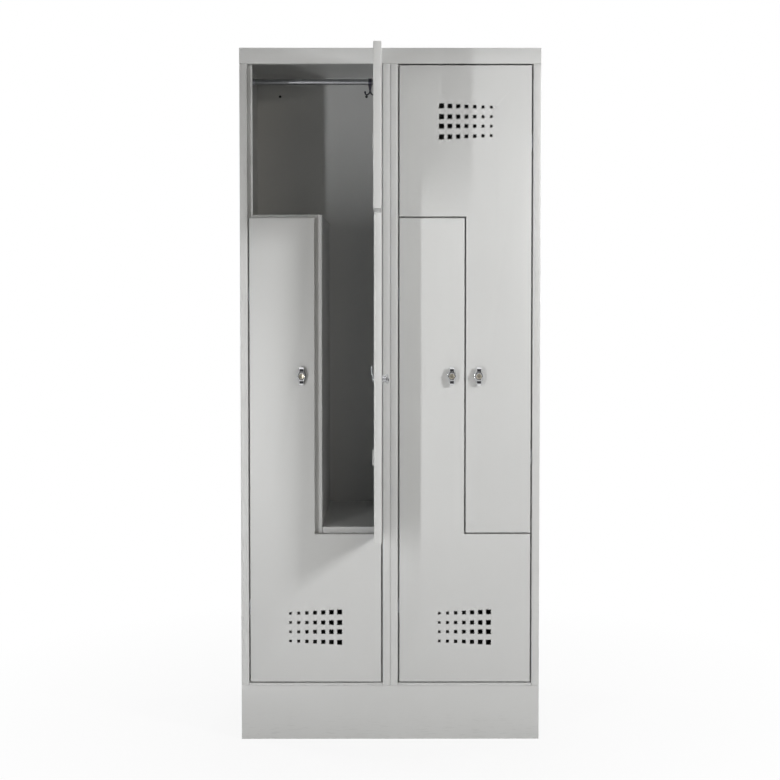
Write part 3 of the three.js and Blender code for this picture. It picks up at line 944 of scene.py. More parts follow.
@dataclass
class Carcass(Assembly):
    """Plinth, top, walls, floors, backs and partitions, whose folded sheets the frame holds."""

    outer: tuple[str, ...] = (
        "plinth_front_board",
        "plinth_back_board",
        "plinth_left_board",
        "plinth_right_board",
        "plinth_cross_rail",
        "top_panel",
    )
    walls: tuple[str, ...] = ("module_left_wall", "module_right_wall")
    inner: tuple[str, ...] = ("base_panel", "back_panel", "divider", "upper_shelf", "lower_shelf")
    hole_radius: float = 3 * MM
    hole_inset: float = 70 * MM
    hole_drop: float = 57 * MM
    # The near-black plugs that paint the shade inside the fixing holes.
    plug_play: float = 0.1 * MM
    plug_flange: float = 1 * MM
    plug_dome: float = 0.5 * MM
    plug_depth_share: float = 0.9
    plug_sides: int = 24

    def _plugs(self, module: Side) -> None:
        """Builds near-black plugs in the two fixing holes of a back panel, which paint the shade
        inside the holes.

        Args:
            module: The module.
        """
        low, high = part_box(f"{module}_back_panel")
        _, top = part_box("top_panel")
        inside = self.hole_radius - self.plug_play
        outside = self.hole_radius + self.plug_flange
        depth = (high.y - low.y) * self.plug_depth_share
        profile = [
            (self.plug_play, -self.plug_dome),
            (outside - self.plug_dome, -self.plug_dome),
            (outside, -self.plug_play),
            (inside, -self.plug_play),
            (inside, depth),
            (self.plug_play, depth),
        ]
        places = {Side.LEFT: low.x + self.hole_inset, Side.RIGHT: high.x - self.hole_inset}
        for name, across in places.items():
            place = Matrix.Translation((across, low.y, top.z - self.hole_drop))
            shade_fill = Form().turned(profile, self.plug_sides)
            piece = shade_fill.made(f"{module}_{name}_hole_shade_fill", place)
            self.shop.hang(piece, Slot.INNER, CABINET, trim=Trim.DARK)

    def build(self) -> None:
        """Dresses every sheet of the carcass."""
        for node in self.outer:
            self.shop.dress(node, Slot.OUTER)
        for module in Side:
            for part in self.walls:
                self.shop.dress(f"{module}_{part}", Slot.OUTER)
            for part in self.inner:
                self.shop.dress(f"{module}_{part}", Slot.INNER)
            self._plugs(module)


@dataclass
class CoatRail(Assembly):
    """The two tubes under a module's ceilings, with the cups or plates that hold their ends."""

    module: Side
    radius: float = 8 * MM
    wall: float = 1.5 * MM
    lip: float = 0.5 * MM
    flange_radius: float = 15 * MM
    flange: float = 2 * MM
    cup_wall: float = 1.8 * MM
    play: float = 0.3 * MM
    fillet: float = 1.2 * MM
    screw_radius: float = 1.7 * MM
    screw_rise: float = 0.9 * MM
    screw_slot: float = 0.5 * MM
    screw_shares: tuple[Pair, ...] = ((1.0, 1 / 3), (0.8, 0.8), (0.45, 1.0))
    sides: int = 48
    screw_sides: int = 16

    def _along(self, node: str, end: Side = Side.LEFT) -> tuple[Matrix, float]:
        """Where a turned form lies that takes the place of a node along the rail.

        Args:
            node: The node's name.
            end: The end of the node that the form starts at.

        Returns:
            The matrix that lays it there, and the node's length.
        """
        low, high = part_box(node)
        start, turn = (low.x, -QUARTER_TURN) if end is Side.LEFT else (high.x, QUARTER_TURN)
        place = Matrix.Translation((start, 0.0, (low.z + high.z) / 2))
        return place @ Matrix.Rotation(turn, 4, "Z"), high.x - low.x

    def _flange(self, stem: float, bevel: float) -> list[Pair]:
        """The profile of a flange, up to where its stem leaves it.

        Args:
            stem: The stem's radius.
            bevel: How far the flange's front edge is cut back.

        Returns:
            The profile's (radius, depth) pairs.
        """
        edge = self.lip / 2
        third = self.fillet / 3
        return [
            (edge, 0.0),
            (self.flange_radius - edge, 0.0),
            (self.flange_radius, edge),
            (self.flange_radius, self.flange - bevel),
            (self.flange_radius - bevel, self.flange),
            (stem + self.fillet, self.flange),
            (stem + third, self.flange + third),
            (stem, self.flange + self.fillet),
        ]

    def _tube(self, level: Level, profile: list[Pair], closed: bool) -> None:
        """Turns a tube from half of its profile.

        Args:
            level: Which of the module's rails it is.
            profile: The profile's first half, from the left end.
            closed: True where the tube is hollow.
        """
        node = f"{self.module}_{level}_coat_rail"
        along, length = self._along(node)
        mirrored = [(radius, length - depth) for radius, depth in reversed(profile)]
        form = Form().turned(profile + mirrored, self.sides, closed)
        piece = form.made(f"{self.module}_{level}_rail_tube", along)
        self.shop.hang(piece, Slot.ZINC, CABINET, [node], Trim.TUBE)

    def _screw(self, name: str, place: Matrix) -> None:
        """Builds a slotted screw in a cup's flange.

        Args:
            name: The screw's name.
            place: The cup's own frame, moved to the screw.
        """
        edge = self.lip / 2
        low = self.flange - edge
        dome = [(edge, low), (self.screw_radius, low)]
        for across, up in self.screw_shares:
            dome.append((self.screw_radius * across, self.flange + self.screw_rise * up))
        dome.append((edge, self.flange + self.screw_rise))
        head = Form().turned(dome, self.screw_sides).made(name, place)
        reach = self.screw_radius * 2
        deep = self.flange + self.screw_rise / 2
        outline = oblong(-reach, reach, deep, self.flange + self.screw_rise * 2)
        cutter = Form().raised(outline, -self.screw_slot / 2, self.screw_slot / 2)
        cut_with(head, [cutter.made("slot cutter", place)])
        self.shop.hang(head, Slot.ZINC, CABINET)

    def _cup(self, end: Side) -> None:
        """Builds a cup with two screws in its flange.

        Args:
            end: Which end of the rail it holds.
        """
        node = f"{self.module}_{end}_rail_socket"
        along, depth = self._along(node, end)
        bore = self.radius + self.play
        outside = bore + self.cup_wall
        profile = self._flange(outside, self.lip)
        profile += [
            (outside, depth - self.lip),
            (outside - self.lip, depth),
            (bore + self.lip, depth),
            (bore, depth - self.lip),
            (bore, self.flange),
            (self.lip / 2, self.flange),
        ]
        cup = Form().turned(profile, self.sides).made(f"{self.module}_{end}_rail_cup", along)
        self.shop.hang(cup, Slot.ZINC, CABINET, [node])
        middle = (self.flange_radius + outside) / 2
        for name, rise in (("top", middle), ("bottom", -middle)):
            place = along @ Matrix.Translation((0.0, 0.0, rise))
            self._screw(f"{self.module}_{end}_cup_{name}_screw", place)

    def build(self) -> None:
        """Builds both rails of the module and the cups of the long one."""
        inside = self.radius - self.wall
        hollow = [
            (inside, self.lip),
            (inside + self.lip, 0.0),
            (self.radius - self.lip, 0.0),
            (self.radius, self.lip),
        ]
        self._tube(Level.UPPER, hollow, True)
        for end in Side:
            self._cup(end)
        self._tube(Level.LOWER, self._flange(self.radius, self.lip / 2), False)


@dataclass
class CoatHook(Assembly):
    """A double hook cast in one with the clip that slides on the rail."""

    module: Side
    level: Level
    bore: float = 8.4 * MM
    wall: float = 2 * MM
    width: float = 10 * MM
    stem: float = 14 * MM
    drop: float = 26 * MM
    spread: float = 14 * MM
    tip_rise: float = 8 * MM
    tip_radius: float = 3.2 * MM
    wire: float = 2.2 * MM
    grain: float = 0.55 * MM
    smooth_rounds: int = 5
    smooth_share: float = 0.5
    wire_sides: int = 16
    wire_steps: int = 28
    clip_sides: int = 56

    def _prong(self, form: Form, side: int, top: float, low: float) -> None:
        """Adds one curved prong with its ball.

        Args:
            form: The hook's form.
            side: The way it leans, left as -1 or right as 1.
            top: The height that the prong starts at.
            low: The height that it bends at.
        """
        ends = [
            Vector((0.0, 0.0, top)),
            Vector((0.0, 0.0, low)),
            Vector((side * self.spread, 0.0, low - self.tip_rise / 2)),
            Vector((side * self.spread, 0.0, low + self.tip_rise)),
        ]
        path = []
        for step in range(self.wire_steps + 1):
            gone = step / self.wire_steps
            left = 1 - gone
            shares = (left**3, 3 * left**2 * gone, 3 * left * gone**2, gone**3)
            path.append(sum((end * share for end, share in zip(ends, shares)), Vector()))
        form.tube(path, self.wire, self.wire_sides, DEPTH_AXIS)
        form.ball(ends[-1], self.tip_radius, self.wire_sides)

    def build(self) -> None:
        """Builds the hook."""
        node = f"{self.module}_{self.level}_coat_hook"
        low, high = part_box(node)
        outside = self.bore + self.wall
        half = self.width / 2
        profile = oblong(self.bore, outside, -half, half)
        clip = Form().turned(profile, self.clip_sides)
        clip.moved(Matrix.Rotation(-QUARTER_TURN, 4, "Z"))
        stem_end = -outside - self.stem
        tapers = ((half, -self.bore - self.wall / 2), (self.wire, stem_end))
        rings = []
        for across, level in tapers:
            rings.append(level_ring(oblong(-across, across, -self.wire, self.wire), level))
        clip.stack(rings)
        for side in (-1, 1):
            self._prong(clip, side, stem_end + self.wire, -outside - self.drop)
        centre = Matrix.Translation(((low.x + high.x) / 2, 0.0, high.z - outside))
        piece = clip.made(f"{self.module}_{self.level}_double_hook", centre)
        skin = piece.modifiers.new("one casting", "REMESH")
        skin.mode = "VOXEL"
        skin.voxel_size = self.grain
        even = piece.modifiers.new("even", "SMOOTH")
        even.factor = self.smooth_share
        even.iterations = self.smooth_rounds
        apply_modifiers(piece)
        body = f"{self.module}_{self.level}_hook"
        self.shop.hang(piece, Slot.CHROME, body, [node], Trim.HOOK)


@dataclass
class Hinge(Assembly):
    """A bracket on the post: a strap curled round the pin, cranked to its leaf."""

    door: str
    height: Height
    hung: Side
    axis_inset: float = 1 * MM
    axis_depth: float = 3.5 * MM
    pin_radius: float = 1.25 * MM
    pin_tip_share: float = 0.6
    pin_core_share: float = 0.1
    dome: float = 0.6 * MM
    curl_radius: float = 1.5 * MM
    strap: float = 0.9 * MM
    bevel_share: float = 0.12
    leaf_outer: float = -3.7 * MM
    leaf_start: float = 7.5 * MM
    leaf_end: float = 20 * MM
    knuckle_share: float = 0.415
    sides: int = 24
    curl_steps: int = 20
    curl_turn: float = math.radians(290)

    def _curl(self, radius: float) -> list[Pair]:
        """One side of the strap where it goes round the pin.

        Args:
            radius: That side's distance from the axis.

        Returns:
            Its (x, y) pairs.
        """
        line = []
        for step in range(self.curl_steps + 1):
            angle = self.curl_turn * (1 - step / self.curl_steps) - HALF_TURN
            across = self.axis_inset + radius * math.cos(angle)
            line.append((across, self.axis_depth + radius * math.sin(angle)))
        return line

    def _strap_outline(self) -> list[Pair]:
        """The strap's outline seen along the pin.

        Returns:
            Its (x, y) pairs.
        """
        web = self.axis_inset - self.curl_radius
        crank = self.leaf_start + self.strap
        leaf_inner = self.leaf_outer + self.strap
        inner = self._curl(self.curl_radius)
        inner += [(web, crank), (leaf_inner, crank), (leaf_inner, self.leaf_end)]
        outer = self._curl(self.curl_radius + self.strap)
        outer += [
            (web - self.strap, self.leaf_start),
            (self.leaf_outer, self.leaf_start),
            (self.leaf_outer, self.leaf_end),
        ]
        return inner + list(reversed(outer))

    def build(self) -> None:
        """Builds the pin and the strap."""
        name = f"{self.door}_{self.height}_hinge"
        low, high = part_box(name)
        is_left = self.hung is Side.LEFT
        edge = low.x - self.leaf_outer if is_left else high.x + self.leaf_outer
        middle = Vector((edge, cabinet_front(), (low.z + high.z) / 2))
        turn = 0.0 if is_left else HALF_TURN
        place = Matrix.Translation(middle) @ Matrix.Rotation(turn, 4, "Y")
        half = (high.z - low.z) / 2
        tip = self.pin_radius * self.pin_tip_share
        core = self.strap * self.pin_core_share
        profile = [
            (core, -half),
            (tip, -half),
            (self.pin_radius, self.dome - half),
            (self.pin_radius, half - self.dome),
            (tip, half),
            (core, half),
        ]
        pin = Form().turned(profile, self.sides).moved(Matrix.Rotation(QUARTER_TURN, 4, "X"))
        at_axis = place @ Matrix.Translation((self.axis_inset, self.axis_depth, 0.0))
        self.shop.hang(pin.made(f"{name}_pin", at_axis), Slot.ZINC, CABINET, [name])
        reach = half * 2 * self.knuckle_share
        strap = Form().raised(self._strap_outline(), -reach, reach).made(f"{name}_strap", place)
        soften(strap, self.strap * self.bevel_share)
        self.shop.hang(strap, Slot.ZINC, CABINET)


@dataclass
class TurnLock(Assembly):
    """The lock of a door: rosette, barrel and nut, grip with its spindle, and cranked cam."""

    door: str
    facing: Facing
    rosette_radius: float = 13 * MM
    rosette: float = 2 * MM
    rosette_shares: tuple[Pair, ...] = ((1.0, 0.0), (0.35, 0.25), (0.0, 0.75))
    seat: float = 0.3 * MM
    barrel_radius: float = 9 * MM
    barrel: float = 15 * MM
    bore: float = 5.3 * MM
    thread_pitch: float = 1 * MM
    thread_depth: float = 0.45 * MM
    nut_radius: float = 13 * MM
    nut_bite_share: float = 1.5
    nut: float = 4 * MM
    nut_chamfer: float = 0.7 * MM
    sheet: float = 1 * MM
    stand: float = 16 * MM
    neck: float = 8.5 * MM
    neck_radius: float = 11.5 * MM
    waist_radius: float = 7 * MM
    length: float = 48 * MM
    width: float = 26 * MM
    end_width: float = 13 * MM
    slope: float = 4.5 * MM
    face_length: float = 32 * MM
    face_width: float = 21 * MM
    face_end_width: float = 10 * MM
    corner: float = 1.6 * MM
    corner_steps: int = 4
    edge: float = 0.35 * MM
    grip_bevel_share: float = 0.6
    slot_start: float = 12.5 * MM
    slot_length: float = 7 * MM
    slot_width: float = 10.5 * MM
    slot_depth: float = 5 * MM
    # Where the near-black inserts sit that paint the shade inside the grip's slots.
    lining_front: float = 2.6 * MM
    lining_back_share: float = 0.9
    lining_play_share: float = 0.25
    dish_radius: float = 7.5 * MM
    dish: float = 1.2 * MM
    dish_steps: int = 8
    cup_steps: int = 10
    cup_radius_share: float = 0.97
    cup_reach_share: float = 0.98
    cup_rise_share: float = 0.3
    spindle_radius: float = 5 * MM
    hub_depth: float = 20.3 * MM
    arm_depth: float = 24.5 * MM
    cam: float = 2.5 * MM
    cam_width: float = 12 * MM
    cam_reach: float = 35.5 * MM
    cam_bevel_share: float = 0.8
    hub_radius: float = 9 * MM
    crank: float = 4 * MM
    square: float = 6 * MM
    square_play: float = 0.3 * MM
    rivet_radius: float = 4.2 * MM
    rivet: float = 1.8 * MM
    rivet_shares: tuple[Pair, ...] = ((1.0, 0.0), (1.0, 0.35), (0.86, 0.72), (0.55, 0.95))
    sides: int = 64
    rivet_sides: int = 32
    cam_steps: int = 40

    @property
    def body(self) -> str:
        """The body that turns with the grip."""
        return f"{self.door}_lock"

    @property
    def face(self) -> float:
        """The depth of the grip's face."""
        return -self.seat - self.rosette - self.stand

    @property
    def neck_end(self) -> float:
        """The depth at which the grip's neck ends, just clear of the rosette."""
        return -self.seat - self.rosette - self.seat

    @property
    def square_start(self) -> float:
        """The depth at which the spindle becomes square."""
        return self.hub_depth - self.seat

    @property
    def square_end(self) -> float:
        """The depth at which the square ends."""
        return self.hub_depth + self.cam + self.seat

    def _place(self) -> Matrix:
        """Finds the lock's own frame: x across, depth into the door, z up, from the door's face.

        Returns:
            The matrix that carries it into the locker's frame.
        """
        low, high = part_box(f"{self.door}_lock_housing")
        centre = (low + high) / 2
        tray_low, tray_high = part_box(f"{self.door}_door_tray")
        if self.facing is Facing.FRONT:
            centre.y = tray_low.y
        else:
            centre.x = tray_high.x
        return Matrix.Translation(centre) @ Matrix.Rotation(self.facing.value, 4, "Z")

    def _housing(self, place: Matrix) -> None:
        """Builds the rosette with its threaded barrel.

        Args:
            place: The lock's own frame.
        """
        front = -self.seat - self.rosette
        root = self.barrel_radius - self.thread_depth
        depth = self.sheet + self.seat
        profile = [(self.bore, front + self.edge), (self.bore + self.edge, front)]
        for inset, rise in self.rosette_shares:
            radius = self.rosette_radius - self.rosette * inset
            profile.append((radius, front + self.rosette * rise))
        profile += [(self.rosette_radius, -self.seat), (root, -self.seat), (root, depth)]
        while depth + self.thread_pitch < self.barrel:
            profile.append((self.barrel_radius, depth + self.thread_pitch / 2))
            profile.append((root, depth + self.thread_pitch))
            depth += self.thread_pitch
        profile += [(root, self.barrel), (self.bore, self.barrel)]
        rosette = Form().turned(profile, self.sides).made(f"{self.door}_lock_rosette", place)
        self.shop.hang(rosette, Slot.CHROME, f"{self.door}_door", [f"{self.door}_lock_housing"])

    def _flats(self, inset: float, depth: float) -> Ring:
        """Makes one ring of the nut's six flats, with its corners cut back.

        Args:
            inset: How far inside the nut's own size the ring lies.
            depth: The ring's depth.

        Returns:
            The ring.
        """
        flat = self.nut_radius * math.cos(HEX_TURN / 2)
        ring = []
        for i in range(self.sides):
            angle = FULL_TURN * i / self.sides
            from_middle = (angle + HEX_TURN / 2) % HEX_TURN - HEX_TURN / 2
            radius = min(self.nut_radius - self.edge, flat / math.cos(from_middle)) - inset
            ring.append(Vector((radius * math.cos(angle), depth, radius * math.sin(angle))))
        return ring

    def _nut(self, place: Matrix) -> None:
        """Builds the chamfered nut.

        Args:
            place: The lock's own frame.
        """
        low = self.sheet + self.seat
        high = low + self.nut
        bore = self.barrel_radius - self.thread_depth * self.nut_bite_share
        rings = [
            self._flats(0.0, low),
            self._flats(0.0, high - self.nut_chamfer),
            self._flats(self.nut_chamfer, high),
            circle(bore, high, self.sides),
            circle(bore, low, self.sides),
        ]
        nut = Form().stack(rings, closed=True).made(f"{self.door}_lock_nut", place)
        self.shop.hang(nut, Slot.ZINC, f"{self.door}_door")

    def _bar_ring(self, sizes: Point, depth: float) -> Ring:
        """Makes one ring of the grip's bar.

        Args:
            sizes: The bar's length, and its width in the middle and at its ends.
            depth: The ring's depth.

        Returns:
            The ring.
        """
        high, wide, end = (size / 2 for size in sizes)
        corners = [(-end, -high), (end, -high), (wide, 0.0), (end, high), (-end, high), (-wide, 0.0)]
        return upright_ring(rounded(corners, self.corner, self.corner_steps), depth)

    def _slot_outline(self, side: int, play: float) -> list[Pair]:
        """The outline of one of the grip's two slots.

        Args:
            side: Which slot it is, the low one as -1 or the high one as 1.
            play: How far inside the slot the outline stays.

        Returns:
            Its (x, z) pairs.
        """
        half = self.slot_width / 2 - play
        near = side * (self.slot_start + play)
        far = side * (self.slot_start + self.slot_length - play)
        corners = oblong(-half, half, min(near, far), max(near, far))
        return rounded(corners, self.edge * 2, self.corner_steps)

    def _bar(self, turned: Matrix) -> None:
        """Builds the bar with its slots and dish.

        Args:
            turned: The grip's own frame.
        """
        face = self.face
        back = self.neck_end - self.neck
        bend = face + self.slope
        full = (self.length, self.width, self.end_width)
        front = (self.face_length, self.face_width, self.face_end_width)
        soft = tuple(size - 2 * self.edge for size in full)
        flat = tuple(size - 2 * self.edge for size in front)
        layers = (
            (soft, back),
            (full, back - self.edge),
            (full, bend + self.edge),
            (soft, bend - self.edge),
            (front, face + self.edge),
            (flat, face),
        )
        rings = [self._bar_ring(sizes, depth) for sizes, depth in layers]
        grip = Form().stack(rings).made(f"{self.door}_lock_handle", turned)
        before = face - self.slope
        cutters = []
        for side in (-1, 1):
            slot = Form().deepened(self._slot_outline(side, 0.0), before, face + self.slot_depth)
            cutters.append(slot.made("slot cutter", turned))
        bowl = [(self.edge, face + self.dish)]
        for step in range(1, self.dish_steps + 1):
            share = step / self.dish_steps
            bowl.append((self.dish_radius * share, face + self.dish * (1 - share**2)))
        bowl += [(self.dish_radius, before), (self.edge, before)]
        cutters.append(Form().turned(bowl, self.sides).made("dish cutter", turned))
        cut_with(grip, cutters)
        soften(grip, self.edge * self.grip_bevel_share)
        self.shop.hang(grip, Slot.CHROME, self.body, [f"{self.door}_lock_grip"])

    def _inserts(self, turned: Matrix) -> None:
        """Builds near-black inserts in the slots, which paint the shade inside them, and the satin
        cup in the dish, whose warm tone is a painted reflection.

        Args:
            turned: The grip's own frame.
        """
        front = self.face + self.lining_front
        back = self.face + self.slot_depth * self.lining_back_share
        play = self.edge * self.lining_play_share
        # Near-black inserts deep in the slots paint the shade that falls inside them.
        for name, side in ((Height.LOW, -1), (Height.HIGH, 1)):
            shade_insert = Form().deepened(self._slot_outline(side, play), back, front)
            piece = shade_insert.made(f"{self.door}_lock_{name}_slot_lining", turned)
            self.shop.hang(piece, Slot.CHROME, self.body, trim=Trim.DARK)
        # The cup's warm beige tone is a painted reflection.
        shown = []
        for step in range(self.cup_steps + 1):
            share = 1 - step / self.cup_steps * self.cup_reach_share
            depth = self.face + self.dish * (1 - share**2) - self.edge * self.cup_rise_share
            shown.append((self.dish_radius * share * self.cup_radius_share, depth))
        under = [(radius, depth + self.edge) for radius, depth in reversed(shown)]
        cup = Form().turned(shown + under, self.sides).made(f"{self.door}_lock_cup", turned)
        self.shop.hang(cup, Slot.CHROME, self.body, trim=Trim.SATIN)

    def _spindle(self, place: Matrix) -> None:
        """Builds the grip's neck in one with its spindle.

        Args:
            place: The lock's own frame.
        """
        back = self.neck_end - self.neck
        waist = (back + self.neck_end) / 2
        profile = [
            (self.edge, back - self.edge),
            (self.neck_radius, back - self.edge),
            (self.neck_radius, back),
            (self.waist_radius + self.edge, waist - self.edge),
            (self.waist_radius, waist),
            (self.waist_radius + self.edge, waist + self.edge),
            (self.neck_radius - self.edge, self.neck_end - self.edge),
            (self.neck_radius, self.neck_end),
            (self.spindle_radius, self.neck_end),
            (self.spindle_radius, self.square_start),
            (self.edge, self.square_start),
        ]
        spindle = Form().turned(profile, self.sides).made(f"{self.door}_lock_spindle", place)
        self.shop.hang(spindle, Slot.CHROME, self.body)

    def _square(self, place: Matrix, turned: Matrix) -> None:
        """Builds the spindle's square end and the rivet on it.

        Args:
            place: The lock's own frame.
            turned: The grip's own frame.
        """
        outline = rounded(square(self.square / 2), self.edge * 2, self.corner_steps)
        end = self.square_end
        peg = Form().deepened(outline, self.square_start - self.edge, end + self.edge)
        self.shop.hang(peg.made(f"{self.door}_lock_square", turned), Slot.ZINC, self.body)
        profile = [(self.edge, end)]
        for across, rise in self.rivet_shares:
            profile.append((self.rivet_radius * across, end + self.rivet * rise))
        profile.append((self.edge, end + self.rivet))
        rivet = Form().turned(profile, self.rivet_sides).made(f"{self.door}_lock_rivet", place)
        self.shop.hang(rivet, Slot.ZINC, self.body)

    def _cam_ring(self, share: float) -> Ring:
        """Makes one ring of the cam: a round hub, and an arm that is cranked away from it.

        Args:
            share: How far along the cam the ring is.

        Returns:
            The ring.
        """
        half = self.cam_width / 2
        eased = (1 - math.cos(HALF_TURN * share)) / 2
        level = (self.hub_radius + self.cam_reach) * eased - self.hub_radius
        hub = math.sqrt(max(self.hub_radius**2 - level**2, 0.0))
        past = max(level - (self.cam_reach - half), 0.0)
        arm = math.sqrt(max(half**2 - past**2, 0.0)) if level > 0 else 0.0
        across = max(hub, arm, self.edge / 2)
        rise = min(max((level - self.hub_radius) / self.crank, 0.0), 1.0)
        rise = rise * rise * (3 - 2 * rise)
        depth = self.hub_depth + (self.arm_depth - self.hub_depth) * rise
        return level_ring(oblong(-across, across, depth, depth + self.cam), level)

    def _cam(self, place: Matrix) -> None:
        """Builds the cam, cut to take the square.

        Args:
            place: The lock's own frame.
        """
        rings = [self._cam_ring(step / self.cam_steps) for step in range(self.cam_steps + 1)]
        cam = Form().stack(rings).made(f"{self.door}_lock_tongue", place)
        hole = square(self.square / 2 + self.square_play)
        cutter = Form().deepened(hole, self.hub_depth - self.cam, self.hub_depth + 2 * self.cam)
        cut_with(cam, [cutter.made("square cutter", place)])
        soften(cam, self.edge * self.cam_bevel_share)
        self.shop.hang(cam, Slot.ZINC, self.body, [f"{self.door}_lock_cam"])

    def build(self) -> None:
        """Builds the lock."""
        place = self._place()
        turn = QUARTER_TURN if self.facing is Facing.RIGHT else 0.0
        turned = place @ Matrix.Rotation(turn, 4, "Y")
        self._housing(place)
        self._nut(place)
        self._bar(turned)
        self._inserts(turned)
        self._spindle(place)
        self._square(place, turned)
        self._cam(place)


@dataclass
class Door(Assembly):
    """A door: its tray and channel from the frame, its two hinges and its lock."""

    name: str
    hung: Side
    facing: Facing

    def build(self) -> None:
        """Builds the door."""
        self.shop.dress(f"{self.name}_door_tray", Slot.OUTER)
        self.shop.dress(f"{self.name}_door_hinge_channel", Slot.INNER)
        for height in Height:
            Hinge(self.shop, self.name, height, self.hung).build()
        TurnLock(self.shop, self.name, self.facing).build()


def cabinet_front() -> float:
    """The depth of the cabinet's front face."""
    low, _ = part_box("top_panel")
    return low.y


# Light and camera


@dataclass
class Lamp:
    """A flat lamp that points at a place and isn't seen itself."""

    name: str
    place: Point
    width: float
    height: float
    watts: float
    aim: Point = (0.0, -0.25, 1.0)
    colour: Colour = WHITE
    is_mirrored: bool = True

    def build(self) -> None:
        """Builds the lamp."""
        data = bpy.data.lights.new(self.name, "AREA")
        data.shape = "RECTANGLE"
        data.size = self.width
        data.size_y = self.height
        data.energy = self.watts
        data.color = self.colour
        lamp = linked(self.name, data)
        lamp.location = self.place
        aim = Vector(self.aim) - Vector(self.place)
        lamp.rotation_mode = "QUATERNION"
        lamp.rotation_quaternion = aim.to_track_quat("-Z", "Y")
        lamp.visible_camera = False
        lamp.visible_glossy = self.is_mirrored
        log.info("lit %s", self.name)


LAMPS = (
    Lamp("key lamp", (-1.03, -2.04, 0.87), 0.06, 1.3, 15.5),
    Lamp("soft lamp", (1.70, -1.70, 1.68), 0.36, 0.44, 29.0),
    Lamp("high warm lamp", (1.45, -4.9, 2.0), 0.6, 0.6, 14.0, colour=WARM, is_mirrored=False),
    Lamp("low warm lamp", (0.6, -4.9, 1.2), 0.6, 0.6, 7.0, colour=WARM, is_mirrored=False),
    Lamp("top lamp", (1.5, -2.6, 3.0), 1.0, 1.0, 4.0),
    Lamp("overhead lamp", (0.0, 0.7, 4.2), 1.4, 1.4, 20.0, aim=(0.0, 0.1, 1.85)),
    Lamp("back lamp", (0.2, 3.4, 2.2), 1.6, 1.6, 50.0, aim=(0.0, 0.25, 1.0)),
    Lamp("left lamp", (-3.0, 1.3, 1.8), 1.0, 1.6, 34.0, aim=(-0.4, 0.0, 1.0)),
    Lamp("right lamp", (3.0, 1.6, 1.8), 1.0, 1.6, 22.0, aim=(0.4, 0.0, 1.0)),
)


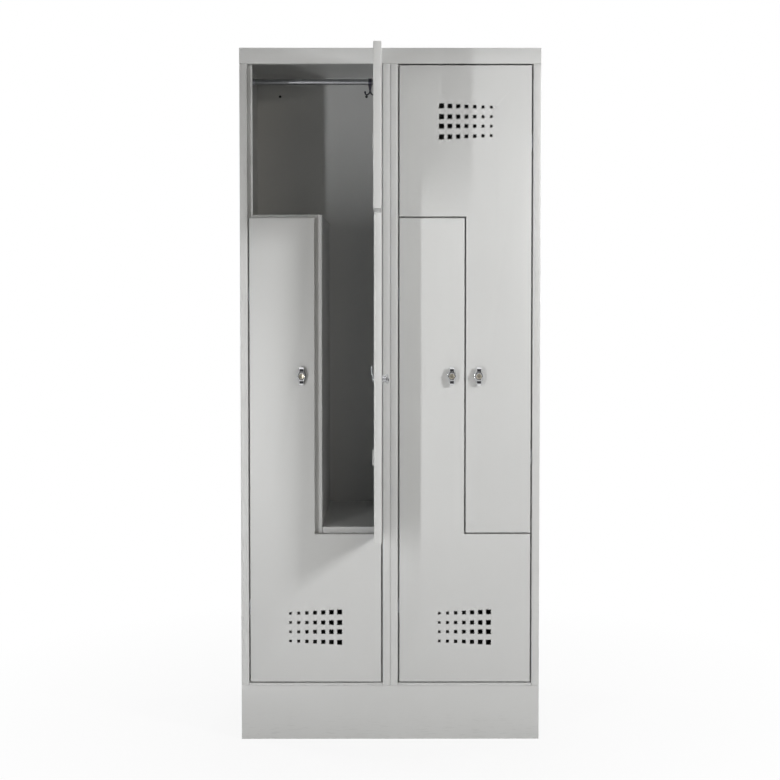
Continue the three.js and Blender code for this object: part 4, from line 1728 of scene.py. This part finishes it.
@dataclass
class Studio:
    """Floor, wall, air, lamps and camera."""

    floor_half: float = 30.0
    floor_tone: Colour = (0.82, 0.82, 0.82)
    shadow_near: float = 0.35
    shadow_far: float = 1.5
    shadow_share: float = 0.12
    floor_gloss_share: float = 0.4
    wall_radius: float = 7.5
    wall_height: float = 3.4
    wall_sides: int = 32
    wall_strength: float = 0.15
    air_strength: float = 0.03
    shown_strength: float = 1.0
    lens_pixels: float = 1380.29
    picture: float = 780.0
    sensor: float = 36.0
    shift_up: float = -0.0505
    eye: Point = (-0.0091, -3.9295, 1.1885)
    yaw: float = 0.0023
    pitch: float = -0.0382

    def _backdrop(
        self,
        name: str,
        corners: Sequence[Point],
        faces: Sequence[tuple[int, ...]],
        material: bpy.types.Material,
    ) -> bpy.types.Object:
        """Builds a surface of the studio.

        Args:
            name: Its name.
            corners: Its corners.
            faces: Its faces, as places in the row of corners.
            material: Its material.

        Returns:
            The object.
        """
        data = bpy.data.meshes.new(name)
        data.from_pydata(corners, [], faces)
        data.materials.append(material)
        made = linked(name, data)
        return made

    @staticmethod
    def _seen(shader: Shader, gloss_share: float = 1.0) -> Value:
        """How much a ray sees of the white studio.

        Args:
            shader: The shader that asks.
            gloss_share: What a ray from a glossy surface sees of it.

        Returns:
            One for rays from the camera or glass, and nought for those that only carry light.
        """
        names = ("Is Camera Ray", "Is Glossy Ray", "Is Transmission Ray")
        straight, glossy, through = (
            shader.node("ShaderNodeLightPath", output=name) for name in names
        )
        return (straight + glossy * gloss_share + through).held()

    def _floor(self) -> None:
        """Builds a pale floor that shows as white and keeps the locker's soft shadow."""
        material, shader = new_shader("pale floor")
        ends = {0: shader.place()}
        away = shader.node("ShaderNodeVectorMath", {"operation": "LENGTH"}, ends, "Value")
        near = (1.0 - (away - self.shadow_near) / (self.shadow_far - self.shadow_near)).held()
        lit = shader.node("ShaderNodeBsdfDiffuse", None, {"Color": (*self.floor_tone, 1.0)})
        shown = shader.glow("ShaderNodeEmission", self.shown_strength)
        share = self._seen(shader, self.floor_gloss_share) * (1.0 - near * self.shadow_share)
        shader.end(shader.node("ShaderNodeMixShader", None, {0: share, 1: lit, 2: shown}))
        corners = [(x, y, 0.0) for x, y in square(self.floor_half)]
        self._backdrop("floor", corners, [tuple(range(len(corners)))], material)

    def _wall(self) -> None:
        """Builds a dim wall all round, which only glossy surfaces show."""
        material, shader = new_shader("dim wall")
        shader.end(shader.glow("ShaderNodeEmission", self.wall_strength))
        count = self.wall_sides
        foot = circle(self.wall_radius, 0.0, count)
        corners = [(at.x, at.z, level) for level in (0.0, self.wall_height) for at in foot]
        faces = []
        for i in range(count):
            after = (i + 1) % count
            faces.append((i, after, after + count, i + count))
        wall = self._backdrop("dim_wall", corners, faces, material)
        wall.visible_camera = False
        wall.visible_diffuse = False
        wall.visible_shadow = False

    def _air(self) -> None:
        """Builds the world: white where it is seen, and weak as a light."""
        world = bpy.data.worlds.new("studio")
        world.use_nodes = True
        bpy.context.scene.world = world
        shader = Shader(world.node_tree)
        weak = shader.glow("ShaderNodeBackground", self.air_strength)
        shown = shader.glow("ShaderNodeBackground", self.shown_strength)
        inputs = {0: self._seen(shader), 1: weak, 2: shown}
        shader.end(shader.node("ShaderNodeMixShader", None, inputs), "ShaderNodeOutputWorld")

    def _camera(self) -> None:
        """Builds the camera, whose place, turn and lens are fitted to the photograph."""
        data = bpy.data.cameras.new("camera")
        data.sensor_width = self.sensor
        data.lens = self.lens_pixels / self.picture * self.sensor
        data.shift_y = self.shift_up
        camera = linked("camera", data)
        camera.location = self.eye
        camera.rotation_euler = (QUARTER_TURN + self.pitch, 0.0, -self.yaw)
        bpy.context.scene.camera = camera

    def build(self) -> None:
        """Builds the studio."""
        bpy.context.scene.view_settings.view_transform = "Standard"
        self._floor()
        self._wall()
        self._air()
        self._camera()
        for lamp in LAMPS:
            lamp.build()


def finishes() -> dict[Slot | Trim, bpy.types.Material]:
    """Makes the locker's finishes.

    Returns:
        The material of each slot and trim.
    """
    touched = []
    for module in Side:
        for level in Level:
            low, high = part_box(f"{module}_{level}_lock_grip")
            touched.append(tuple((low + high) / 2))
    chosen = {
        Slot.OUTER: OuterCoat("outer powder coat", touched=tuple(touched)),
        Slot.INNER: PowderCoat("inner powder coat"),
        Slot.ZINC: ZincPlate(),
        Slot.CHROME: ChromePlate(),
        Trim.DARK: PAINTED_SHADE_BLACK,
        Trim.TUBE: DULL_TUBE,
        Trim.HOOK: DARK_ZINC,
        Trim.SATIN: SATIN_PAINTED_REFLECTION,
    }
    return {key: finish.material() for key, finish in chosen.items()}


def main() -> None:
    """Builds the locker's looks around the frame."""
    logging.basicConfig(level=logging.INFO, format="%(name)s: %(message)s")
    Studio().build()
    shop = Workshop(finishes())
    Carcass(shop).build()
    for module in Side:
        CoatRail(shop, module).build()
        for level in Level:
            CoatHook(shop, module, level).build()
    doors = (
        Door(shop, "left_lower", Side.LEFT, Facing.FRONT),
        Door(shop, "left_upper", Side.RIGHT, Facing.RIGHT),
        Door(shop, "right_lower", Side.LEFT, Facing.FRONT),
        Door(shop, "right_upper", Side.RIGHT, Facing.FRONT),
    )
    for door in doors:
        door.build()


if __name__ == "__main__":
    main()
